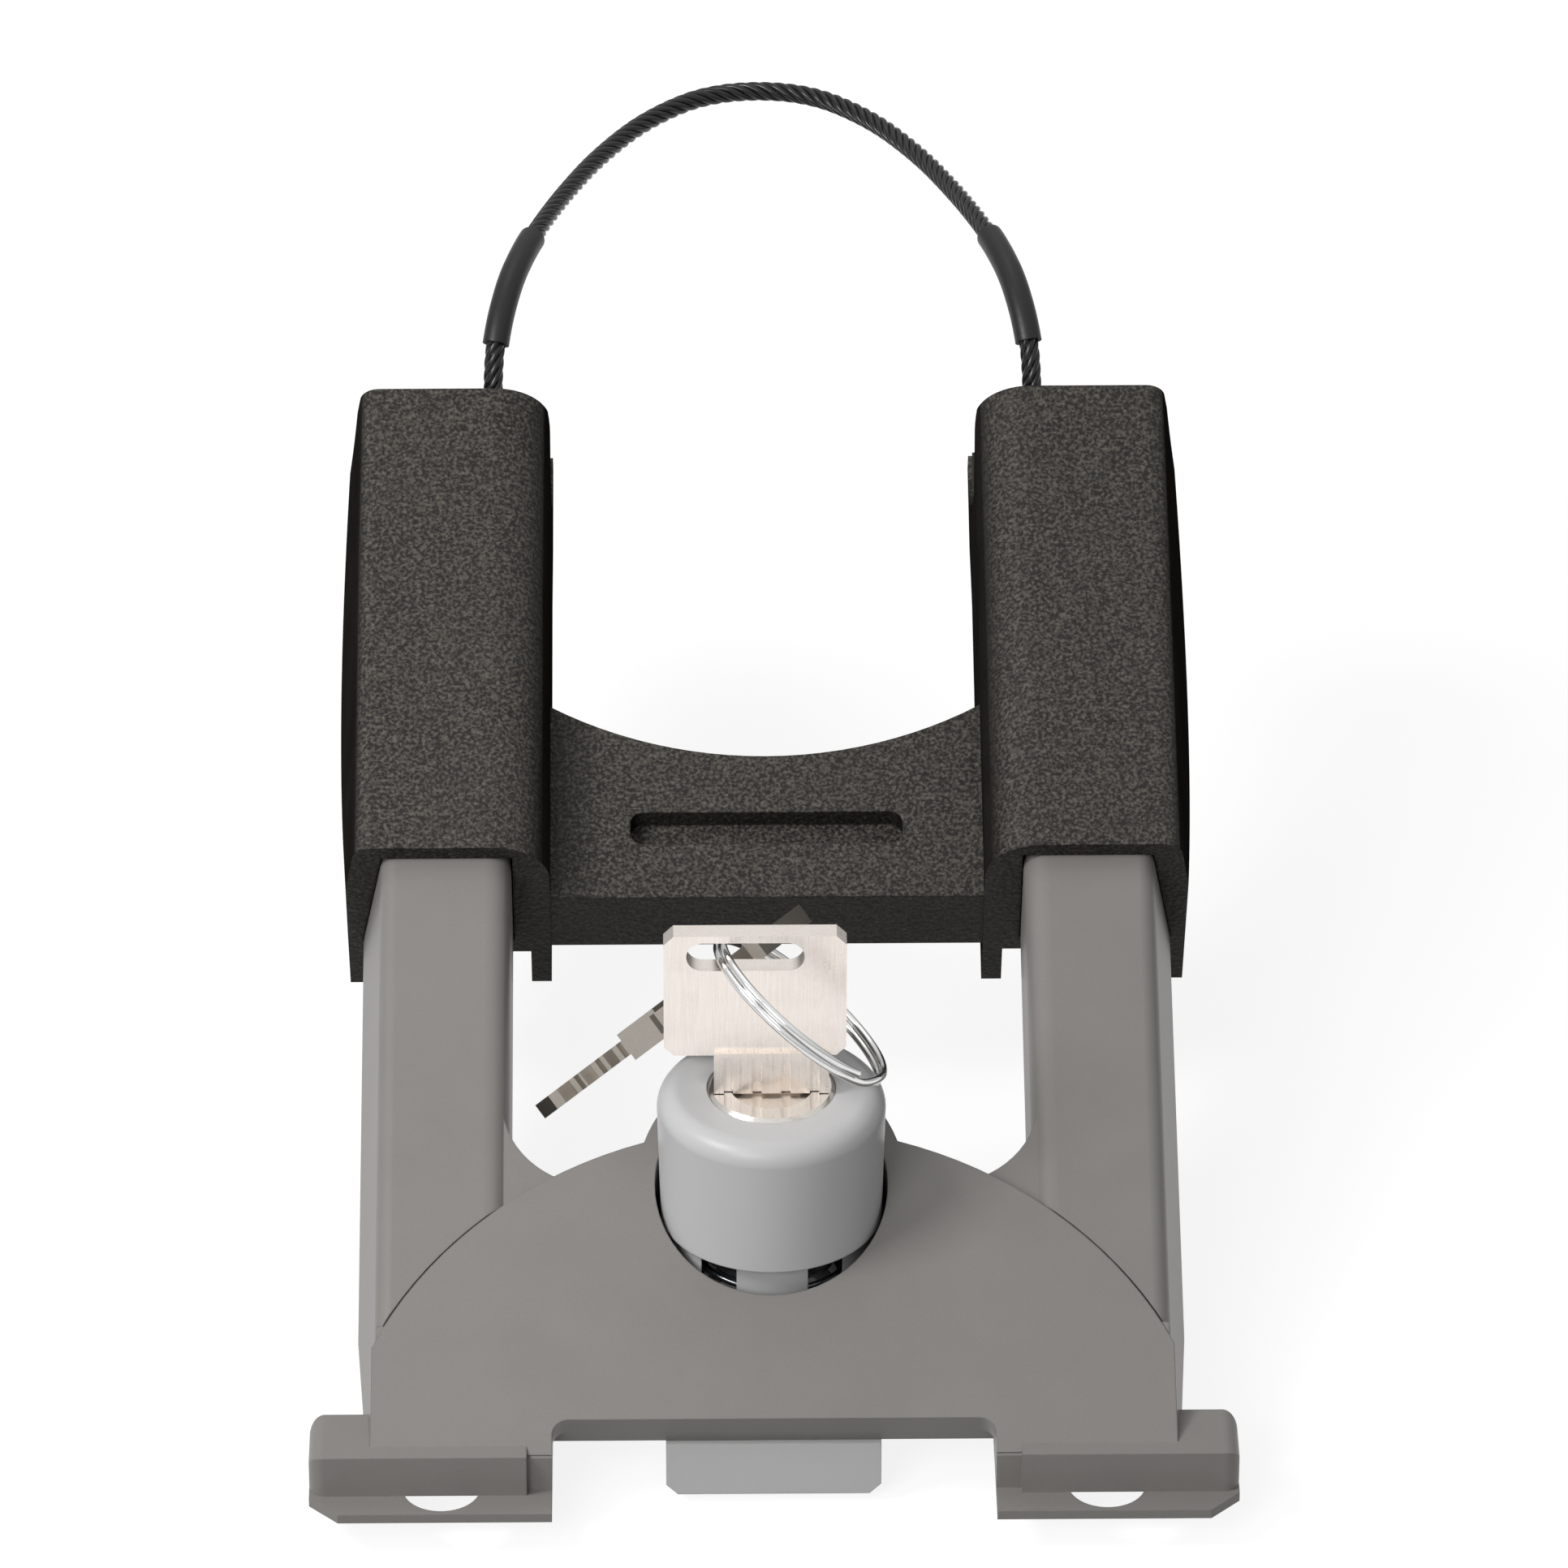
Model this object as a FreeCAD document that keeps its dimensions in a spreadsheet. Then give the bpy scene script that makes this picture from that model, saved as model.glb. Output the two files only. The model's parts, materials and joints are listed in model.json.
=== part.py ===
import FreeCAD, Part

import math
import os

import Sketcher
from FreeCAD import Placement, Rotation, Vector

# A lockable bag mount for a round bar, in millimetres.
# The origin is the middle of the clamp axis: +X runs along it, -Y to the front and +Z up.
# Sloped pieces are drawn level, with x across, y up the slope and z out of its front,
# and their placement then tips them back by the slope angle.

DRIVING_SIZES = {
    # Clamp and slope
    "slope_angle": 25.0,
    "clamp_radius": 15.9,
    "pad_thickness": 1.5,
    "pad_inset": 0.5,
    "pad_end_inset": 1.5,
    "piece_gap": 0.15,
    "snug_gap": 0.05,
    # Sleeves of the extension frame
    "sleeve_inner": 27.0,
    "sleeve_bow": 1.2,
    "sleeve_bulge_half": 53.5,
    "sleeve_draft": 2.5,
    "sleeve_cover": 3.1,
    "sleeve_low": 80.7,
    "sleeve_front": 15.0,
    "sleeve_back": 16.0,
    "sleeve_wall": 2.5,
    "draft_start": 2.0,
    "lip_reach": 12.7,
    "lip_front": 17.0,
    "flare_length": 26.0,
    "ear_reach": 0.5,
    "ear_back": 20.4,
    "ear_foot": 12.0,
    "ear_root": 24.0,
    "inner_round": 7.0,
    "outer_round": 2.5,
    "relief_top": 26.0,
    "floor_thickness": 2.5,
    # Web between the sleeves
    "web_front": 3.0,
    "web_back": 8.0,
    "web_low": 80.4,
    "web_middle": 59.5,
    "web_arc": 51.9,
    "slot_half": 17.0,
    "slot_tall": 4.7,
    "slot_middle": 70.2,
    "slot_depth": 3.0,
    "slot_round": 1.6,
    # Arms of the bracket body
    "arm_inner": 31.7,
    "arm_draft": 2.8,
    "arm_front": 12.5,
    "arm_back": 6.3,
    "arm_top": 42.5,
    "arm_inner_round": 3.0,
    "arm_outer_round": 2.0,
    "arm_hollow_top": 88.0,
    "shell_wall": 2.6,
    # Plate of the bracket body
    "plate_rise": 0.4,
    "plate_thickness": 3.0,
    "plate_inset": 0.1,
    "arch_top": 119.7,
    "arch_margin": 2.7,
    "arch_wall": 11.0,
    "gusset_top": 115.0,
    "gusset_low": 126.5,
    "gusset_inner": 25.0,
    "gusset_round": 12.0,
    "gusset_drop": 1.0,
    "groove_width": 0.35,
    "groove_depth": 0.45,
    "plate_step": 0.6,
    "ledge_corner": 3.5,
    "notch_reach": 160.6,
    "notch_round": 2.0,
    "lip_tall": 5.1,
    # Feet
    "foot_inner": 26.5,
    "foot_front": 155.6,
    "foot_back": 139.0,
    "flange_inner": 29.5,
    "flange_stand": 5.2,
    "flange_front": 156.6,
    "flange_back": 147.5,
    "flange_top": 57.7,
    "flange_low": 63.2,
    "ledge_front": 160.4,
    "base_level": 64.4,
    "foot_hole_across": 39.7,
    "foot_hole_front": 155.1,
    "foot_hole_radius": 4.6,
    # Push button and its guide
    "button_forward": 121.4,
    "button_top": 28.4,
    "button_radius": 13.8,
    "button_low_radius": 13.4,
    "button_shoulder": 46.2,
    "button_round": 2.6,
    "skirt_radius": 12.2,
    "skirt_inner": 10.6,
    "skirt_low": 60.6,
    "pocket_radius": 14.1,
    "guide_radius": 16.3,
    "guide_low": 60.2,
    "ledge_radius": 12.6,
    "ledge_level": 58.0,
    "notch_near": 4.3,
    "notch_far": 8.5,
    "spring_seat": 38.0,
    "holder_radius": 8.9,
    "holder_low": 50.0,
    "prong_half": 3.0,
    "prong_low": 65.1,
    "barb_radius": 12.9,
    # Lock
    "barrel_radius": 7.75,
    "barrel_top": 28.1,
    "barrel_low": 52.0,
    "barrel_chamfer": 0.5,
    "plug_radius": 5.0,
    "plug_top": 28.4,
    "plug_low": 52.3,
    "keyway_wide": 7.3,
    "keyway_thick": 2.3,
    "keyway_low": 45.3,
    "clip_radius": 8.8,
    "clip_seat": 6.9,
    "clip_thick": 0.7,
    "cam_hub": 4.6,
    "cam_reach": 7.4,
    "cam_tip": 2.4,
    "cam_thick": 1.6,
    "cam_screw_radius": 1.45,
    "cam_screw_head": 2.5,
    "cam_screw_tall": 1.6,
    # Spring and its plate
    "spring_plate_outer": 10.3,
    "spring_plate_inner": 8.2,
    "spring_plate_thick": 2.0,
    "lug_radius": 13.5,
    "spring_radius": 9.75,
    "spring_wire": 0.9,
    "spring_turns": 5.0,
    "spring_sides": 12.0,
    # Latch
    "latch_disc": 14.6,
    "latch_thick": 3.0,
    "latch_arm_half": 10.0,
    "tab_half": 12.9,
    "tab_front": 149.6,
    "tab_thick": 3.0,
    "tab_top": 60.9,
    "tab_low": 68.2,
    "tab_chamfer": 1.4,
    # Keys
    "key_left": 12.9,
    "key_right": 9.0,
    "key_top": 6.0,
    "key_bottom": 22.9,
    "key_thick": 2.6,
    "key_corner": 1.2,
    "neck_half": 6.9,
    "neck_thick": 3.8,
    "neck_low": 28.0,
    "neck_groove": 1.1,
    "neck_groove_depth": 0.5,
    "blade_wide": 7.0,
    "blade_thick": 2.0,
    "blade_low": 44.8,
    "key_slot_left": 10.2,
    "key_slot_right": 4.0,
    "key_slot_tall": 3.9,
    "key_slot_level": 8.9,
    "cut_tall": 3.0,
    # Split ring and the spare key on it, both turned from the lock's own directions
    "ring_radius": 12.6,
    "ring_wire": 0.5,
    "ring_across": 3.5,
    "ring_level": 17.2,
    "ring_turn_angle": 41.6,
    "ring_tilt_angle": 33.0,
    "ring_lean_angle": 14.0,
    "spare_tilt_angle": 48.5,
    "spare_hang": 1.0,
    "spare_place_angle": 133.0,
    # Cable
    "cable_radius": 1.25,
    "cable_across": 34.2,
    "cable_angle": 160.0,
    "cable_offset": 19.4,
    "guard_inner": 1.3,
    "guard_outer": 1.7,
    "tail_length": 9.0,
    "ferrule_start": 7.0,
    "ferrule_end": 19.0,
    "ferrule_radius": 2.4,
    "ferrule_bore_end": 9.3,
    "ferrule_thread_start": 12.0,
    "bolt_radius": 1.5,
    "bolt_seat": 31.0,
    "bolt_start": 12.6,
    "bolt_head": 3.9,
    "bolt_head_tall": 3.0,
    "bolt_socket": 1.4,
    "bore_start": 6.5,
    # Screws that hold the arms in the sleeves
    "arm_screw_outset": 9.9,
    "arm_screw_down": 61.0,
    "arm_screw_radius": 1.9,
    "arm_screw_head": 3.4,
    "arm_screw_tall": 2.6,
    "arm_screw_tip": 3.0,
}

doc = FreeCAD.newDocument("bag_mount")
sheet = doc.addObject("Spreadsheet::Sheet", "sizes")


class Size:
    """A length that carries both its number and the sheet expression for it."""

    def __init__(self, number, text):
        self.number = float(number)
        self.text = text

    def join(self, other, sign, number):
        return Size(number, f"({self.text} {sign} {as_size(other).text})")

    def __add__(self, other):
        return self.join(other, "+", self.number + as_size(other).number)

    def __sub__(self, other):
        return self.join(other, "-", self.number - as_size(other).number)

    def __mul__(self, other):
        return self.join(other, "*", self.number * as_size(other).number)

    def __truediv__(self, other):
        return self.join(other, "/", self.number / as_size(other).number)

    def __neg__(self):
        return Size(-self.number, f"(0 - {self.text})")


def as_size(value):
    return value if isinstance(value, Size) else Size(value, repr(float(value)))


def root(size):
    return Size(math.sqrt(size.number), f"sqrt({size.text})")


class Sizes:
    """The sheet's cells as Size values, read by name."""


S = Sizes()
for row, (alias, number) in enumerate(DRIVING_SIZES.items(), start=1):
    sheet.set(f"A{row}", alias)
    sheet.set(f"B{row}", str(number))
    sheet.setAlias(f"B{row}", alias)
    setattr(S, alias, Size(number, f"sizes.{alias}"))
doc.recompute()

# Sizes that follow from the driving ones
SADDLE = S.clamp_radius + S.pad_thickness
PLATE_FACE = S.arm_front + S.plate_rise
SLEEVE_END = S.sleeve_bulge_half - S.sleeve_bow
SLEEVE_FACE = S.sleeve_bulge_half - S.sleeve_draft
PAD_END = SLEEVE_END - S.pad_end_inset
ARM_OUTER = S.sleeve_bulge_half - S.sleeve_cover
ARM_FACE = ARM_OUTER - S.arm_draft
SCREW_ACROSS = ARM_OUTER - S.arm_screw_outset
PLATE_SIDE = ARM_OUTER - S.plate_inset
ARCH_RADIUS = PLATE_SIDE + S.arch_margin
FLANGE_OUTER = PLATE_SIDE + S.flange_stand
CLEAR = 6.0


class Curve:
    """An arc between two corners of an outline, with its centre on the left or right."""

    def __init__(self, radius, side):
        self.radius = as_size(radius)
        self.side = side


def bind(thing, name, size):
    """Gives a property its value from the sheet."""
    thing.setExpression(name, as_size(size).text)


def hold_point(sketch, geometry, position, label, x, y):
    """Pins one point of a sketch at two sheet values."""
    for kind, value, axis in (("DistanceX", x, -2), ("DistanceY", y, -1)):
        if value.text == "0.0":
            sketch.addConstraint(Sketcher.Constraint("PointOnObject", geometry, position, axis))
            continue
        index = sketch.addConstraint(
            Sketcher.Constraint(kind, -1, 1, geometry, position, value.number))
        name = f"{label}_{kind[-1].lower()}"
        sketch.renameConstraint(index, name)
        sketch.setExpression(f"Constraints.{name}", value.text)


def hold_radius(sketch, geometry, label, radius):
    index = sketch.addConstraint(Sketcher.Constraint("Radius", geometry, radius.number))
    sketch.renameConstraint(index, label)
    sketch.setExpression(f"Constraints.{label}", radius.text)


def arc_between(start, end, curve):
    """The minor arc from start to end, drawn anticlockwise as a sketch needs it."""
    turn = 1.0 if curve.side == "left" else -1.0
    chord = end - start
    across = Vector(-chord.y, chord.x, 0).normalize() * turn
    middle = (start + end) * 0.5
    radius = curve.radius.number
    reach = math.sqrt(max(radius * radius - chord.Length * chord.Length / 4, 0))
    centre = middle + across * reach
    first, last = (start, end) if turn > 0 else (end, start)
    first_angle = math.atan2(first.y - centre.y, first.x - centre.x)
    last_angle = math.atan2(last.y - centre.y, last.x - centre.x)
    circle = Part.Circle(centre, Vector(0, 0, 1), radius)
    return Part.ArcOfCircle(circle, first_angle, last_angle)


def draw_outline(sketch, path):
    """Draws a closed outline of corners; a Curve between two corners bends that side."""
    corners = []
    for item in path:
        if isinstance(item, Curve):
            corners[-1][2] = item
        else:
            corners.append([as_size(item[0]), as_size(item[1]), None])
    points = [Vector(x.number, y.number, 0) for x, y, _ in corners]
    sides = []
    for index, (_, _, curve) in enumerate(corners):
        start = points[index]
        end = points[(index + 1) % len(points)]
        if curve is None:
            geometry = sketch.addGeometry(Part.LineSegment(start, end))
        else:
            geometry = sketch.addGeometry(arc_between(start, end, curve))
        backwards = curve is not None and curve.side == "right"
        sides.append((geometry, 2 if backwards else 1, 1 if backwards else 2))
    for index, (geometry, _, tail) in enumerate(sides):
        following, head, _ = sides[(index + 1) % len(sides)]
        sketch.addConstraint(Sketcher.Constraint("Coincident", geometry, tail, following, head))
    for index, (x, y, curve) in enumerate(corners):
        geometry, head, _ = sides[index]
        label = f"corner{geometry}"
        hold_point(sketch, geometry, head, label, x, y)
        if curve is not None:
            hold_radius(sketch, geometry, f"curve{geometry}", curve.radius)


def draw_circle(sketch, x, y, radius):
    x, y, radius = as_size(x), as_size(y), as_size(radius)
    centre = Vector(x.number, y.number, 0)
    circle = Part.Circle(centre, Vector(0, 0, 1), radius.number)
    geometry = sketch.addGeometry(circle)
    hold_point(sketch, geometry, 3, f"centre{geometry}", x, y)
    hold_radius(sketch, geometry, f"circle{geometry}", radius)


def rectangle(left, low, right, high):
    return [(left, low), (right, low), (right, high), (left, high)]


def new_body(name, sloped=False, forward=None):
    """A body drawn level, tipped by the slope angle or stood at the button's axis."""
    body = doc.addObject("PartDesign::Body", name)
    body.Label = name
    if sloped:
        body.Placement = Placement(Vector(), Rotation(Vector(1, 0, 0), S.slope_angle.number))
        bind(body, "Placement.Rotation.Angle", S.slope_angle)
    if forward is not None:
        body.Placement = Placement(Vector(0, -forward.number, 0), Rotation())
        bind(body, "Placement.Base.y", -forward)
    return body


def new_sketch(body, role, name, outlines, offset=None):
    """A sketch of one or more outlines on one of the body's own planes."""
    sketch = body.newObject("Sketcher::SketchObject", name)
    plane = next(item for item in body.Origin.OriginFeatures if item.Role == role)
    sketch.AttachmentSupport = [(plane, "")]
    sketch.MapMode = "FlatFace"
    if offset is not None:
        offset = as_size(offset)
        sketch.AttachmentOffset = Placement(Vector(0, 0, offset.number), Rotation())
        bind(sketch, "AttachmentOffset.Base.z", offset)
    for outline in outlines:
        if outline[0] == "circle":
            draw_circle(sketch, *outline[1:])
        else:
            draw_outline(sketch, outline)
    return sketch


def settle(body, feature, name, grows):
    """Recomputes a feature and makes sure that it added or removed material."""
    before = body.Tip.Shape.Volume if body.Tip not in (None, feature) else 0.0
    body.Tip = feature
    doc.recompute()
    change = feature.Shape.Volume - before
    if "Invalid" in feature.State or (change > 0) != grows or abs(change) < 1e-6:
        raise RuntimeError(f"{name}: volume changed by {change:.3f}, state {feature.State}")
    return feature


def pad(body, sketch, length, name, flip=False):
    previous = body.Tip
    feature = body.newObject("PartDesign::Pad", name)
    feature.Profile = sketch
    feature.Reversed = flip
    bind(feature, "Length", length)
    sketch.Visibility = False
    body.Tip = previous if previous is not None else feature
    return settle(body, feature, name, True)


def pocket(body, sketch, length, name, flip=False):
    """Cuts by a length, or right through where the length is None."""
    previous = body.Tip
    feature = body.newObject("PartDesign::Pocket", name)
    feature.Profile = sketch
    feature.Reversed = flip
    if length is None:
        feature.Type = 1
    else:
        bind(feature, "Length", length)
    body.Tip = previous
    return settle(body, feature, name, False)


def revolve(body, sketch, name):
    feature = body.newObject("PartDesign::Revolution", name)
    feature.Profile = sketch
    feature.ReferenceAxis = (sketch, ["V_Axis"])
    feature.Angle = 360.0
    return settle(body, feature, name, True)


def round_edges(body, low, high, radius, name):
    """Rounds the edges that lie inside a box of the body's own space."""
    shape = body.Tip.Shape
    space = FreeCAD.BoundBox(*low, *high)
    names = [f"Edge{index}" for index, edge in enumerate(shape.Edges, start=1)
             if space.isInside(edge.BoundBox)]
    previous = body.Tip
    feature = body.newObject("PartDesign::Fillet", name)
    feature.Base = (previous, names)
    bind(feature, "Radius", radius)
    body.Tip = previous
    return settle(body, feature, name, False)


def cylinder(name, radius, height, base, direction=Vector(0, 0, 1)):
    solid = doc.addObject("Part::Cylinder", name)
    bind(solid, "Radius", radius)
    bind(solid, "Height", height)
    solid.Placement = Placement(base, Rotation(Vector(0, 0, 1), direction))
    return solid


def block(name, low, high):
    """A box between two corners, each given as three sizes."""
    solid = doc.addObject("Part::Box", name)
    for side, first, last in zip(("Length", "Width", "Height"), low, high):
        bind(solid, side, as_size(last) - first)
    for axis, first in zip("xyz", low):
        bind(solid, f"Placement.Base.{axis}", first)
    return solid


def fuse(name, pieces):
    joined = doc.addObject("Part::MultiFuse", name)
    joined.Shapes = pieces
    joined.Refine = True
    return joined


def cut(name, base, tool):
    left = doc.addObject("Part::Cut", name)
    left.Base = base
    left.Tool = tool
    left.Refine = True
    return left


def mirror(name, source):
    """The same piece on the other side of the middle plane."""
    twin = doc.addObject("Part::Mirroring", name)
    twin.Source = source
    twin.Normal = Vector(1, 0, 0)
    twin.Base = Vector()
    return twin


def feature_of(name, shape):
    solid = doc.addObject("Part::Feature", name)
    solid.Shape = shape
    return solid


def on_slope(across, up, out):
    """A point of the sloped space, in the mount's own frame."""
    angle = math.radians(S.slope_angle.number)
    y = up * math.cos(angle) - out * math.sin(angle)
    z = up * math.sin(angle) + out * math.cos(angle)
    return Vector(across, y, z)


ANGLE = math.radians(S.cable_angle.number)
EXIT = Vector(S.cable_across.number,
              S.cable_offset.number * math.cos(ANGLE),
              S.cable_offset.number * math.sin(ANGLE))
DOWN = Vector(0, -math.sin(ANGLE), math.cos(ANGLE))


def down_bore(name, radius, start, end):
    """A cylinder on the line of the cable inside the right sleeve."""
    base = EXIT + DOWN * as_size(start).number
    return cylinder(name, radius, as_size(end) - start, base, DOWN)


def make_extension_frame():
    """The black moulding: two sleeves on a web, each with a saddle at its top."""
    body = new_body("extension_half", sloped=True)
    lip_level = root(SADDLE * SADDLE - S.lip_reach * S.lip_reach)
    ear_level = root(SADDLE * SADDLE - S.ear_reach * S.ear_reach)
    flare_rise = S.lip_front - S.sleeve_front
    flare = (S.flare_length * S.flare_length + flare_rise * flare_rise) / (flare_rise * 2)
    side = [
        (-S.sleeve_low, S.sleeve_front),
        (-S.lip_reach - S.flare_length, S.sleeve_front), Curve(flare, "left"),
        (-S.lip_reach, S.lip_front),
        (-S.lip_reach, lip_level), Curve(SADDLE, "left"),
        (S.ear_reach, -ear_level),
        (S.ear_reach, -S.ear_back),
        (-S.ear_foot, -S.ear_back),
        (-S.ear_root, -S.sleeve_back),
        (-S.sleeve_low, -S.sleeve_back)]
    profile = new_sketch(body, "YZ_Plane", "sleeve_side", [side], S.sleeve_inner)
    pad(body, profile, S.sleeve_bulge_half - S.sleeve_inner, "sleeve_block")

    # The outer side bows out a little between its ends
    chord = S.sleeve_low - S.lip_reach
    bow = S.sleeve_bulge_half - SLEEVE_END
    bow_radius = (chord * chord / 4 + bow * bow) / (bow * 2)
    far = S.sleeve_bulge_half + CLEAR
    plan = [
        (SLEEVE_END, -S.sleeve_low), Curve(bow_radius, "left"),
        (SLEEVE_END, -S.lip_reach),
        (SLEEVE_END, S.ear_reach + CLEAR),
        (far, S.ear_reach + CLEAR),
        (far, -S.sleeve_low - CLEAR),
        (SLEEVE_END, -S.sleeve_low - CLEAR)]
    outer = new_sketch(body, "XY_Plane", "sleeve_plan", [plan], S.lip_front + CLEAR)
    pocket(body, outer, None, "sleeve_bow")

    # The outer side is drafted towards the front
    lean = (S.sleeve_bulge_half - SLEEVE_FACE) / (S.sleeve_front + S.draft_start)
    above = S.lip_front + CLEAR
    draft = [
        (S.sleeve_bulge_half, -S.draft_start),
        (far, -S.draft_start),
        (far, above),
        (S.sleeve_bulge_half - lean * (above + S.draft_start), above)]
    section = new_sketch(body, "XZ_Plane", "sleeve_draft", [draft], S.sleeve_low + CLEAR)
    pocket(body, section, None, "sleeve_side_draft")

    low, top = -S.sleeve_low.number - 1, -S.lip_reach.number + 0.01
    front, tip = S.sleeve_front.number - 0.01, S.lip_front.number + 0.01
    inner = S.sleeve_inner.number
    round_edges(body, (inner - 0.01, low, front), (inner + 0.01, top, tip),
                S.inner_round, "inner_edge_round")
    face = SLEEVE_FACE.number
    round_edges(body, (face - 2, low, front), (face + 4, top, tip),
                S.outer_round, "outer_edge_round")

    # The arms slide into a channel; behind its floor the sleeve is open to the back
    gap = S.piece_gap
    channel = [
        (S.arm_inner - gap, -S.arm_back - gap),
        (ARM_OUTER + gap, -S.arm_back - gap),
        (ARM_FACE + gap, S.arm_front + gap),
        (S.arm_inner - gap, S.arm_front + gap)]
    mouth = new_sketch(body, "XZ_Plane", "channel_section", [channel], S.sleeve_low)
    pocket(body, mouth, S.sleeve_low - S.arm_top + gap, "arm_channel")
    floor = -S.arm_back - gap - S.floor_thickness
    relief = rectangle(S.sleeve_inner + S.sleeve_wall, -S.sleeve_low - CLEAR,
                       SLEEVE_END - S.sleeve_wall * 0.8, -S.relief_top)
    back = new_sketch(body, "XY_Plane", "relief_plan", [relief], floor)
    pocket(body, back, None, "back_relief")

    # The web, its blind slot and its hollow back
    web_end = S.sleeve_inner + S.sleeve_wall
    web_drop = S.web_arc - root(S.web_arc * S.web_arc - web_end * web_end)
    web = [
        (0, -S.web_low),
        (web_end, -S.web_low),
        (web_end, -S.web_middle + web_drop), Curve(S.web_arc, "right"),
        (0, -S.web_middle)]
    web_sketch = new_sketch(body, "XY_Plane", "web_plan", [web], -S.web_back)
    pad(body, web_sketch, S.web_front + S.web_back, "web")
    slot_low = -S.slot_middle - S.slot_tall / 2
    slot_high = -S.slot_middle + S.slot_tall / 2
    slot = [
        (0, slot_low),
        (S.slot_half - S.slot_round, slot_low), Curve(S.slot_round, "left"),
        (S.slot_half, slot_low + S.slot_round),
        (S.slot_half, slot_high - S.slot_round), Curve(S.slot_round, "left"),
        (S.slot_half - S.slot_round, slot_high),
        (0, slot_high)]
    slot_sketch = new_sketch(body, "XY_Plane", "slot_plan", [slot], S.web_front)
    pocket(body, slot_sketch, S.slot_depth, "blind_slot")
    hollow = rectangle(S.sleeve_wall / 2, -S.web_low + S.sleeve_wall,
                       S.sleeve_inner - S.sleeve_wall, -S.web_middle - S.sleeve_wall)
    hollow_sketch = new_sketch(body, "XY_Plane", "web_hollow_plan", [hollow], -S.web_back)
    pocket(body, hollow_sketch, S.web_back - S.sleeve_wall, "web_hollow", flip=True)

    bores = fuse("frame_bores", [
        down_bore("cable_hole", S.cable_radius + S.piece_gap, -CLEAR, S.ferrule_start),
        down_bore("ferrule_bore", S.ferrule_radius + S.piece_gap, S.bore_start, S.bolt_seat + 1),
        down_bore("bolt_seat_bore", S.bolt_head + S.piece_gap, S.bolt_seat, S.bolt_seat + 9),
        cylinder("arm_screw_hole", S.arm_screw_radius + S.piece_gap, S.floor_thickness + 4,
                 on_slope(SCREW_ACROSS.number, -S.arm_screw_down.number,
                          floor.number - 2),
                 on_slope(0, 0, 1))])
    half = cut("frame_half", body, bores)
    return fuse("extension_frame", [half, mirror("frame_half_left", half)])


def make_foot():
    """The right foot: a column, an outward flange and a forward ledge with a hole."""
    body = new_body("foot")
    lean = math.tan(math.radians(S.slope_angle.number))
    rise = PLATE_FACE.number / math.cos(math.radians(S.slope_angle.number)) - 0.2
    top_front = rise - S.foot_front.number * lean
    top_back = rise - S.foot_back.number * lean
    column = [
        (-S.foot_front, top_front),
        (-S.foot_front, -S.base_level),
        (-S.foot_back, -S.base_level),
        (-S.foot_back, top_back)]
    column_sketch = new_sketch(body, "YZ_Plane", "column_side", [column], S.foot_inner)
    pad(body, column_sketch, ARM_FACE - S.foot_inner, "column")
    flange = rectangle(-S.flange_front, -S.base_level, -S.flange_back, -S.flange_top)
    flange_sketch = new_sketch(body, "YZ_Plane", "flange_side", [flange], S.flange_inner)
    pad(body, flange_sketch, FLANGE_OUTER - S.flange_inner, "flange")
    outer = FLANGE_OUTER.number
    round_edges(body, (outer - 0.01, -S.flange_front.number - 0.01, -S.base_level.number - 0.01),
                (outer + 0.01, -S.flange_back.number + 0.01, -S.flange_top.number + 0.01),
                S.shell_wall * 0.7, "flange_end_round")
    ledge = [
        (S.foot_inner, -S.ledge_front),
        (FLANGE_OUTER - S.ledge_corner, -S.ledge_front),
        (FLANGE_OUTER, -S.ledge_front + S.ledge_corner),
        (FLANGE_OUTER, -S.flange_back - S.shell_wall / 2),
        (S.foot_inner, -S.flange_back - S.shell_wall / 2)]
    ledge_sketch = new_sketch(body, "XY_Plane", "ledge_plan", [ledge], -S.base_level)
    pad(body, ledge_sketch, S.base_level - S.flange_low, "ledge")
    hole = ("circle", S.foot_hole_across, -S.foot_hole_front, S.foot_hole_radius)
    hole_sketch = new_sketch(body, "XY_Plane", "hole_plan", [hole], -S.base_level)
    pocket(body, hole_sketch, S.base_level - S.flange_low, "ledge_hole", flip=True)
    return body


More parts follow.
